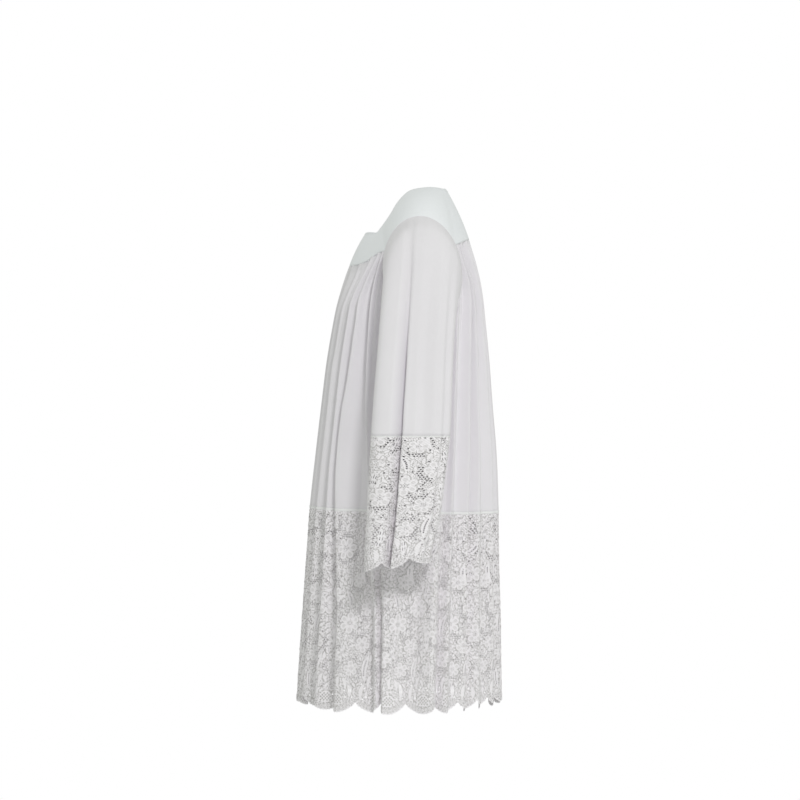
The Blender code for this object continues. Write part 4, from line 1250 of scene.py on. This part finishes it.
# Materials
WEAVE_PITCH = 0.0010    # the real threads lie about 0.3 mm apart, drawn here 1 mm apart so that they show
WEAVE_UNEVEN = 0.6
RIB_PITCH = 0.0024      # the motifs' laid threads lie about 1 mm apart, drawn 2.4 mm apart so that they show
RIB_UNEVEN = 2.5
# The ground's leaves, about 4 by 7 mm, lean one way in some places and the other way in others
GROUND_LEAF = (0.0036, 0.0066, 1.0)
GROUND_LEANS = (38.0, -34.0)
GROUND_BEND = 0.012


def linear(colour):
    """A hex sRGB colour as linear red, green, blue and alpha."""
    parts = [int(colour[i : i + 2], 16) / 255 for i in (1, 3, 5)]
    return tuple(c / 12.92 if c <= 0.04045 else ((c + 0.055) / 1.055) ** 2.4 for c in parts) + (1.0,)


def node(material, kind, settings=None, inputs=None):
    """Adds a node with its settings. An input is a value, or another node's output socket."""
    made = material.node_tree.nodes.new(kind)
    for name, value in (settings or {}).items():
        setattr(made, name, value)
    for name, value in (inputs or {}).items():
        if isinstance(value, bpy.types.NodeSocket):
            material.node_tree.links.new(value, made.inputs[name])
        else:
            made.inputs[name].default_value = value
    return made


def finish(name, roughness, sheen):
    """A new material and its shader, with the numbers that are the same all over."""
    material = bpy.data.materials.new(name)
    material.use_nodes = True
    shader = material.node_tree.nodes["Principled BSDF"]
    shader.inputs["Roughness"].default_value = roughness
    shader.inputs["IOR"].default_value = 1.5
    shader.inputs["Specular IOR Level"].default_value = 0.25
    shader.inputs["Sheen Weight"].default_value = sheen
    shader.inputs["Sheen Roughness"].default_value = 0.5
    return material, shader


def threads(material, chart, direction, spacing, distortion):
    """Even threads across the cloth, their spacing in metres."""
    return node(
        material, "ShaderNodeTexWave", {"bands_direction": direction, "wave_profile": "SIN"},
        {
            "Vector": chart, "Scale": math.pi / (10 * spacing), "Distortion": distortion,
            "Detail": 1.0, "Detail Scale": 2.0,
        },
    ).outputs["Fac"]


def polycotton(name, shade, light):
    """Plain-weave polyester and cotton, ironed: matt, with an even thread and a soft uneven tone."""
    material, shader = finish(name, 0.86, 0.10)
    chart = node(material, "ShaderNodeUVMap", {"uv_map": "UVMap"}).outputs["UV"]
    place = node(material, "ShaderNodeTexCoord").outputs["Object"]
    tone = node(
        material, "ShaderNodeTexNoise", {}, {"Vector": place, "Scale": 9.0, "Detail": 3.0, "Roughness": 0.55}
    ).outputs["Fac"]
    colour = node(
        material, "ShaderNodeMix", {"data_type": "RGBA"}, {0: tone, 6: linear(shade), 7: linear(light)}
    ).outputs[2]
    warp, weft = (threads(material, chart, direction, WEAVE_PITCH, WEAVE_UNEVEN) for direction in "XY")
    weave = node(material, "ShaderNodeMath", {"operation": "MAXIMUM"}, {0: warp, 1: weft}).outputs["Value"]
    rumple = node(
        material, "ShaderNodeTexNoise", {}, {"Vector": place, "Scale": 45.0, "Detail": 2.0}
    ).outputs["Fac"]
    soft = node(
        material, "ShaderNodeBump", {}, {"Strength": 0.25, "Distance": 0.0015, "Height": rumple}
    ).outputs["Normal"]
    bump = node(
        material, "ShaderNodeBump", {},
        {"Strength": 0.12, "Distance": 0.0003, "Height": weave, "Normal": soft},
    ).outputs["Normal"]
    material.node_tree.links.new(colour, shader.inputs["Base Color"])
    material.node_tree.links.new(bump, shader.inputs["Normal"])
    return material


def cotton_lace(name, shaded_gap, cotton):
    """White machine lace: thick ribbed cotton in the motifs, and small close leaves in the ground, with
    painted shade grey in the gaps round the motifs, the windows' mesh and between the ground's leaves.
    """
    material, shader = finish(name, 0.9, 0.06)
    chart = node(material, "ShaderNodeUVMap", {"uv_map": "UVMap"}).outputs["UV"]
    place = node(material, "ShaderNodeTexCoord").outputs["Object"]
    tone = node(material, "ShaderNodeAttribute", {"attribute_name": "motif"}).outputs["Fac"]
    ribs = threads(material, chart, "DIAGONAL", RIB_PITCH, RIB_UNEVEN)
    bend = node(
        material, "ShaderNodeTexNoise", {}, {"Vector": chart, "Scale": 60.0, "Detail": 1.0}
    ).outputs["Color"]
    bent = node(
        material, "ShaderNodeMix", {"data_type": "VECTOR", "factor_mode": "UNIFORM"},
        {0: GROUND_BEND, 4: chart, 5: bend},
    ).outputs[1]
    leaves = []
    for lean in GROUND_LEANS:
        turned_chart = node(
            material, "ShaderNodeMapping", {"vector_type": "TEXTURE"},
            {"Vector": bent, "Rotation": (0.0, 0.0, math.radians(lean)), "Scale": GROUND_LEAF},
        ).outputs["Vector"]
        rim = node(
            material, "ShaderNodeTexVoronoi", {"voronoi_dimensions": "2D", "feature": "DISTANCE_TO_EDGE"},
            {"Vector": turned_chart, "Scale": 1.0, "Randomness": 0.95},
        ).outputs["Distance"]
        # The edges between the ground's small leaves are painted part way to the shade grey
        leaves.append(node(
            material, "ShaderNodeMapRange", {"interpolation_type": "SMOOTHSTEP"},
            {"Value": rim, "From Min": 0.02, "From Max": 0.15, "To Min": 0.22, "To Max": 1.0},
        ).outputs["Result"])
    patches = node(
        material, "ShaderNodeTexNoise", {}, {"Vector": chart, "Scale": 38.0, "Detail": 0.0}
    ).outputs["Fac"]
    more = {"operation": "GREATER_THAN"}
    side = node(material, "ShaderNodeMath", more, {0: patches, 1: 0.5}).outputs["Value"]
    close = node(material, "ShaderNodeMix", {}, {0: side, 2: leaves[0], 3: leaves[1]}).outputs[0]
    halfway = (MOTIF_TONE + GROUND_TONE) / 2
    ground = node(material, "ShaderNodeMath", more, {0: tone, 1: halfway}).outputs["Value"]
    # thick raises the lace in its bump and sets how much of the painted shade grey its colour takes
    thick = node(material, "ShaderNodeMix", {}, {0: ground, 2: tone, 3: close}).outputs[0]
    plain = node(
        material, "ShaderNodeMix", {"data_type": "RGBA"}, {0: thick, 6: linear(shaded_gap), 7: linear(cotton)}
    ).outputs[2]
    # The grooves between the ribs are painted a little darker, as their shade
    groove_shade = node(
        material, "ShaderNodeMapRange", {}, {"Value": ribs, "To Min": 0.90, "To Max": 1.0}
    ).outputs["Result"]
    colour = node(
        material, "ShaderNodeMix", {"data_type": "RGBA", "blend_type": "MULTIPLY"},
        {0: 1.0, 6: plain, 7: groove_shade},
    ).outputs[2]
    rumple = node(
        material, "ShaderNodeTexNoise", {}, {"Vector": place, "Scale": 120.0, "Detail": 2.0}
    ).outputs["Fac"]
    soft = node(
        material, "ShaderNodeBump", {}, {"Strength": 0.3, "Distance": 0.0008, "Height": rumple}
    ).outputs["Normal"]
    raised = node(
        material, "ShaderNodeBump", {}, {"Strength": 0.5, "Distance": 0.0008, "Height": thick, "Normal": soft}
    ).outputs["Normal"]
    bump = node(
        material, "ShaderNodeBump", {},
        {"Strength": 0.4, "Distance": 0.0004, "Height": ribs, "Normal": raised},
    ).outputs["Normal"]
    material.node_tree.links.new(colour, shader.inputs["Base Color"])
    material.node_tree.links.new(bump, shader.inputs["Normal"])
    return material


panel_finish = polycotton("White ironed polycotton", "#E8E4EA", "#EFECF1")
yoke_finish = polycotton("White doubled polycotton", "#F2F3F9", "#F8F9FD")
# ACA9A8 is the painted shade grey of the lace; #FDF9FE is its cotton's white
lace_finish = cotton_lace("White cotton machine lace", "#ACA9A8", "#FDF9FE")
tape_finish = polycotton("White cotton tape", "#EFEEF0", "#F8F7F9")
thread_finish = polycotton("White sewing thread", "#E6E7E8", "#F0F1F2")


# Where each piece of flat cloth goes


class Panel:
    """The front or back panel between two side seams, and the flounce under it."""

    def __init__(self, first, last, scallops):
        self.first, self.last, self.scallops = first, last, scallops
        self.crests = np.linspace(first, last, CURVE_STEPS)
        self.tops = panel_top(self.crests)
        seam = cloth(self.crests, lace_seam(fold_angle(self.crests, LACE_SEAM_BACK)))
        self.run = run_along(seam)
        self.width, self.depth = float(self.run[-1]), PANEL_LENGTH
        self.hem_run = run_along(cloth(self.crests, HEM_NOTCH))
        self.lace_width = scallops * SCALLOP * MM

    def top(self, crest):
        return np.stack([np.interp(crest, self.crests, self.tops[:, n]) for n in range(3)], axis=-1)

    def cloth(self, x, y):
        crest = np.interp(x, self.run, self.crests)
        return panel_point(crest, self.top(crest), np.clip(-y / self.depth, 0.0, 1.0))

    def lace(self, x, y):
        crest = np.interp(x * self.hem_run[-1] / self.lace_width, self.hem_run, self.crests)
        return lace_point(crest, -y / (LACE_DEPTH * MM))


class Sleeve:
    """A sleeve from its armhole to its lace, and the two lengths of lace."""

    def __init__(self, side, troughs):
        self.side, self.troughs = side, troughs
        self.angles = np.linspace(-CUFF_SEAM_ANGLE, 360 - CUFF_SEAM_ANGLE, CURVE_STEPS)
        self.run = run_along(sleeve_point(LACE_RING, self.angles, troughs))
        self.width, self.depth = float(self.run[-1]), SLEEVE_LENGTH
        self.edge_run = run_along(sleeve_point(CUFF_RING, self.angles, troughs))

    def hand(self, x, width):
        """The right sleeve is laid the other way round."""
        return x if self.side > 0 else width - x

    def cloth(self, x, y):
        angle = np.interp(self.hand(x, self.width) % self.width, self.run, self.angles)
        ring = np.clip(-y / self.depth, 0.0, 1.0) * LACE_RING
        return sleeve_point(ring, angle, self.troughs) * (self.side, 1, 1)

    def lace(self, first, last, scallops):
        """A length of lace between two angles: its place function and its width."""
        start, end = (np.interp(angle, self.angles, self.edge_run) for angle in (first, last))
        width = scallops * SCALLOP * MM

        def place(x, y):
            share = self.hand(x, width) / width
            angle = np.interp(start + (end - start) * share, self.edge_run, self.angles)
            down = -y / CUFF_LACE_DEPTH
            ring = LACE_RING + (CUFF_RING - LACE_RING) * np.clip(down, 0.0, 1.0)
            below = np.clip(-y - CUFF_LACE_DEPTH, 0.0, None) * CUFF_DROP / (NOTCH_DROP * MM)
            rise = cuff_rise(angle) * np.minimum(down, 1.0) - below
            return sleeve_point(ring, angle, self.troughs, rise) * (self.side, 1, 1)

        return place, width


YOKE_STATIONS = np.linspace(0, LAST_STATION, CURVE_STEPS)
YOKE_RUN = run_along(yoke_point(YOKE_STATIONS, np.full(CURVE_STEPS, YOKE_MIDDLE)))
YOKE_LENGTH = float(YOKE_RUN[-1])


def yoke_cloth(x, y):
    """The yoke as one strip, from the centre back over the right shoulder, the front and the left one."""
    station = np.interp(np.abs(x), YOKE_RUN, YOKE_STATIONS)
    row = -y / YOKE_DEPTH
    point = yoke_point(station, np.clip(row, -YOKE_OVER, 1.0))
    lap = np.clip(row - 1.0, 0.0, None)[..., None] * YOKE_DEPTH
    down = unit(yoke_seam(station) - NECK.point(station)) * LAP_OUTWARD + (0.0, 0.0, -LAP_FALL)
    point = point + unit(down) * lap
    return point * np.stack((np.where(x < 0, -1.0, 1.0), 0 * x + 1, 0 * x + 1), axis=-1)


def cut_size(place, width, depth):
    """A shaped piece's longest length down, and its flat area: width at the lace times mean length."""
    down = np.linspace(0.0, -depth, CUT_STEPS)
    lengths = []
    for x in np.linspace(0.0, width, CUT_STEPS):
        lengths.append(float(run_along(place(np.full(CUT_STEPS, x), down))[-1]))
    return max(lengths), width * float(np.mean(lengths))


def lace_size(work):
    """The depth of a flat length of lace to its scallops' tips, and its area without holes or relief."""
    work.normal_update()
    area = sum(face.calc_area() * abs(face.normal.z) for face in work.faces)
    return -min(vert.co.y for vert in work.verts), area


def welt(name, place, left, right, top, depth, lift, finish_used, cells):
    """A fold of cloth sewn down along a seam, a little proud of it and rounded across its shorter side."""
    work = flat_cloth(right - left, depth, *cells, left, top)
    for vert in work.verts:
        if depth < right - left:
            share = (top - vert.co.y) / depth
        else:
            share = (vert.co.x - left) / (right - left)
        rounded = math.sin(math.pi * min(max(share, 0.0), 1.0))
        vert.co.z = lift * math.sqrt(max(0.0, rounded)) - WELT_SUNK
    piece = lay(name, work, place, finish_used)
    return piece


def stitches(name, place, left, right, lines, lift):
    """Rows of stitches along a seam, one for each line's height."""
    count = round((right - left) / STITCH_PITCH)
    work = bmesh.new()
    for line in lines:
        shape = bmesh.ops.create_icosphere(work, subdivisions=1, radius=1.0)["verts"]
        bmesh.ops.scale(work, verts=shape, vec=(STITCH_LENGTH / 2, STITCH_WIDTH / 2, STITCH_WIDTH / 2))
        bmesh.ops.translate(work, verts=shape, vec=(left + STITCH_PITCH / 2, line, lift))
    pattern = work.verts[:] + work.edges[:] + work.faces[:]
    for number in range(1, count):
        copy = bmesh.ops.duplicate(work, geom=pattern)["geom"]
        moved = [v for v in copy if isinstance(v, bmesh.types.BMVert)]
        bmesh.ops.translate(work, verts=moved, vec=(number * (right - left) / count, 0.0, 0.0))
    piece = lay(name, work, place, thread_finish)
    return piece


# Building

yoke_flat = flat_cloth(2 * YOKE_LENGTH, YOKE_DEPTH + YOKE_LAP, YOKE_COLUMNS, YOKE_ROWS, -YOKE_LENGTH)
yoke = lay("yoke_cloth", yoke_flat, yoke_cloth, yoke_finish, wall=YOKE_WALL, weld=CLOSED)
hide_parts("yoke")
ends = (-YOKE_LENGTH, YOKE_LENGTH)
rim = welt("neck_rim", yoke_cloth, *ends, RIM_TOP, RIM, STRIP_LIFT, yoke_finish, RIM_CELLS)
rim_stitches = stitches("neck_stitching", yoke_cloth, *ends, (RIM_STITCHES - RIM,), RIM_STITCH_LIFT)
lap_line = -YOKE_DEPTH - YOKE_LAP + LAP_STITCHES
lap_stitches = stitches("yoke_stitching", yoke_cloth, *ends, (lap_line,), LAP_STITCH_LIFT)

drawing = LaceDrawing()
draw_flowers(drawing)
draw_window(drawing)
draw_border(drawing)
draw_leaves(drawing)
draw_sprays(drawing)
draw_net(drawing)
draw_foliage(drawing)
repeat = cut_lace(drawing)


def lace_piece(name, scallops, above, place, node_name):
    """A length of lace in its place, with the depth and the area of its flat cut."""
    flat = lace_length(repeat, scallops, above)
    depth, area = lace_size(flat)
    piece = lay(name, flat, place, lace_finish)
    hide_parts(node_name)
    return piece, depth, area


def taped(tape_name, stitches_name, place, width, columns):
    """The tape over a lace's seam, and its two rows of stitches."""
    tape = welt(tape_name, place, 0.0, width, TAPE / 2, TAPE, TAPE_LIFT, tape_finish, (columns, TAPE_ROWS))
    sewn = stitches(stitches_name, place, 0.0, width, TAPE_STITCHES, TAPE_STITCH_LIFT)
    return [tape, sewn]


front = Panel(RIGHT_SIDE_SEAM - FOLD_COUNT, LEFT_SIDE_SEAM, FRONT_SCALLOPS)
back = Panel(LEFT_SIDE_SEAM, RIGHT_SIDE_SEAM, BACK_SCALLOPS)
for word, panel in (("front", front), ("back", back)):
    columns = round((panel.last - panel.first) * PANEL_COLUMNS_PER_FOLD)
    flat = flat_cloth(panel.width, panel.depth, columns, PANEL_ROWS)
    piece = lay(word + "_panel", flat, panel.cloth, panel_finish, wall=CLOTH_WALL)
    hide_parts("body_" + word)
    for hand, left in (("first", 0.0), ("second", panel.width - STRIP)):
        name = f"{word}_side_seam_{hand}"
        strip = (left, left + STRIP, 0.0, panel.depth, STRIP_LIFT)
        welt(name, panel.cloth, *strip, panel_finish, STRIP_CELLS)
    longest, area = cut_size(panel.cloth, panel.width, panel.depth)
    piece, depth, area = lace_piece(word + "_flounce", panel.scallops, 0.0, panel.lace, "hem_lace_" + word)
    width = panel.lace_width
    names = (word + "_lace_tape", word + "_tape_stitching")
    trim = taped(*names, panel.lace, width, FLOUNCE_TAPE_COLUMNS)

for word, side, troughs in (("left", 1, SLEEVE_TROUGHS_LEFT), ("right", -1, SLEEVE_TROUGHS_RIGHT)):
    sleeve = Sleeve(side, troughs)
    flat = flat_cloth(sleeve.width, sleeve.depth, SLEEVE_COLUMNS, SLEEVE_ROWS)
    piece = lay("sleeve_cloth_" + word, flat, sleeve.cloth, panel_finish, wall=CLOTH_WALL, weld=CLOSED)
    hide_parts("sleeve_" + word)
    strip = (0.0, sleeve.width, 0.0, STRIP, ARMHOLE_LIFT)
    armhole_seam = welt("armhole_seam_" + word, sleeve.cloth, *strip, panel_finish, ARMHOLE_CELLS)
    under = sleeve.hand(float(np.interp(180.0, sleeve.angles, sleeve.run)), sleeve.width)
    strip = (under - STRIP / 2, under + STRIP / 2, 0.0, sleeve.depth, STRIP_LIFT)
    under_seam = welt("sleeve_seam_" + word, sleeve.cloth, *strip, panel_finish, STRIP_CELLS)
    longest, area = cut_size(sleeve.cloth, sleeve.width, sleeve.depth)
    round_armhole = sleeve.cloth(np.linspace(0.0, sleeve.width, CURVE_STEPS), np.zeros(CURVE_STEPS))
    float(run_along(round_armhole)[-1])
    turn = CUFF_SEAM_ANGLE
    for part, first, last, scallops in (
        ("outer", -turn, turn, CUFF_SCALLOPS_OUTER), ("inner", turn, 360 - turn, CUFF_SCALLOPS_INNER)
    ):
        place, width = sleeve.lace(first, last, scallops)
        ending = f"{word}_{part}"
        above = LACE_DEPTH * MM - CUFF_LACE_DEPTH
        node_name = "sleeve_lace_" + ending
        piece, depth, area = lace_piece("cuff_lace_" + ending, scallops, above, place, node_name)
        names = ("cuff_tape_" + ending, "cuff_stitching_" + ending)
        trim = taped(*names, place, width, CUFF_TAPE_COLUMNS * scallops)

# The studio: a pale floor and a white surround, a soft key light on the side that the photograph shows, and
# weaker ones from the right front and from behind

FLOOR_SIZE = 6.0
FLOOR_HEIGHT = -1.585
SURROUND_TINT = (0.96, 1.0, 0.93, 1.0)
SURROUND_STRENGTH = 0.56
LIGHTS = (
    ("key_light", (4.5, 0.9, 1.6), (0.0, 0.0, -0.4), 0.8, 69.0),
    ("fill_light", (-4.2, -2.2, 1.4), (0.0, 0.0, -0.5), 2.4, 34.0),
    ("back_light", (1.2, 4.2, 1.0), (0.0, 0.0, -0.5), 2.2, 12.0),
)
CAMERA_PLACE = (7.0, -0.029, -0.396)
CAMERA_LENS = 163.2
CAMERA_SENSOR = 36.0

bpy.ops.mesh.primitive_plane_add(size=FLOOR_SIZE, location=(0.0, 0.0, FLOOR_HEIGHT))
floor = bpy.context.object
floor.name = "studio_floor"
floor_paint = bpy.data.materials.new("White studio floor paint")
floor_paint.use_nodes = True
floor_shader = floor_paint.node_tree.nodes["Principled BSDF"]
floor_shader.inputs["Base Color"].default_value = linear("#F4F4F4")
floor_shader.inputs["Roughness"].default_value = 0.9
floor.data.materials.append(floor_paint)

surround = bpy.data.worlds.new("White surround")
surround.use_nodes = True
bpy.context.scene.world = surround
nodes, links = surround.node_tree.nodes, surround.node_tree.links
shade = nodes["Background"]
shade.inputs["Color"].default_value = SURROUND_TINT
shade.inputs["Strength"].default_value = SURROUND_STRENGTH
seen = nodes.new("ShaderNodeBackground")
seen.inputs["Color"].default_value = (1.0, 1.0, 1.0, 1.0)
choose = nodes.new("ShaderNodeMixShader")
path = nodes.new("ShaderNodeLightPath")
links.new(path.outputs["Is Camera Ray"], choose.inputs[0])
links.new(shade.outputs[0], choose.inputs[1])
links.new(seen.outputs[0], choose.inputs[2])
links.new(choose.outputs[0], nodes["World Output"].inputs["Surface"])


def soft_light(name, place, aim, size, watts):
    """A round soft light that faces a point of the garment."""
    lamp = bpy.data.lights.new(name, "AREA")
    lamp.shape, lamp.size, lamp.energy = "DISK", size, watts
    made = bpy.data.objects.new(name, lamp)
    made.location = place
    made.rotation_euler = (Vector(aim) - Vector(place)).to_track_quat("-Z", "Y").to_euler()
    bpy.context.scene.collection.objects.link(made)


for light in LIGHTS:
    soft_light(*light)

camera = bpy.data.cameras.new("camera")
camera.sensor_width = CAMERA_SENSOR
camera.lens = CAMERA_LENS
camera_object = bpy.data.objects.new("camera", camera)
camera_object.location = CAMERA_PLACE
camera_object.rotation_euler = (math.radians(90), 0.0, math.radians(90))
bpy.context.scene.collection.objects.link(camera_object)
bpy.context.scene.camera = camera_object
bpy.context.scene.view_settings.view_transform = "Standard"

bpy.context.view_layer.update()
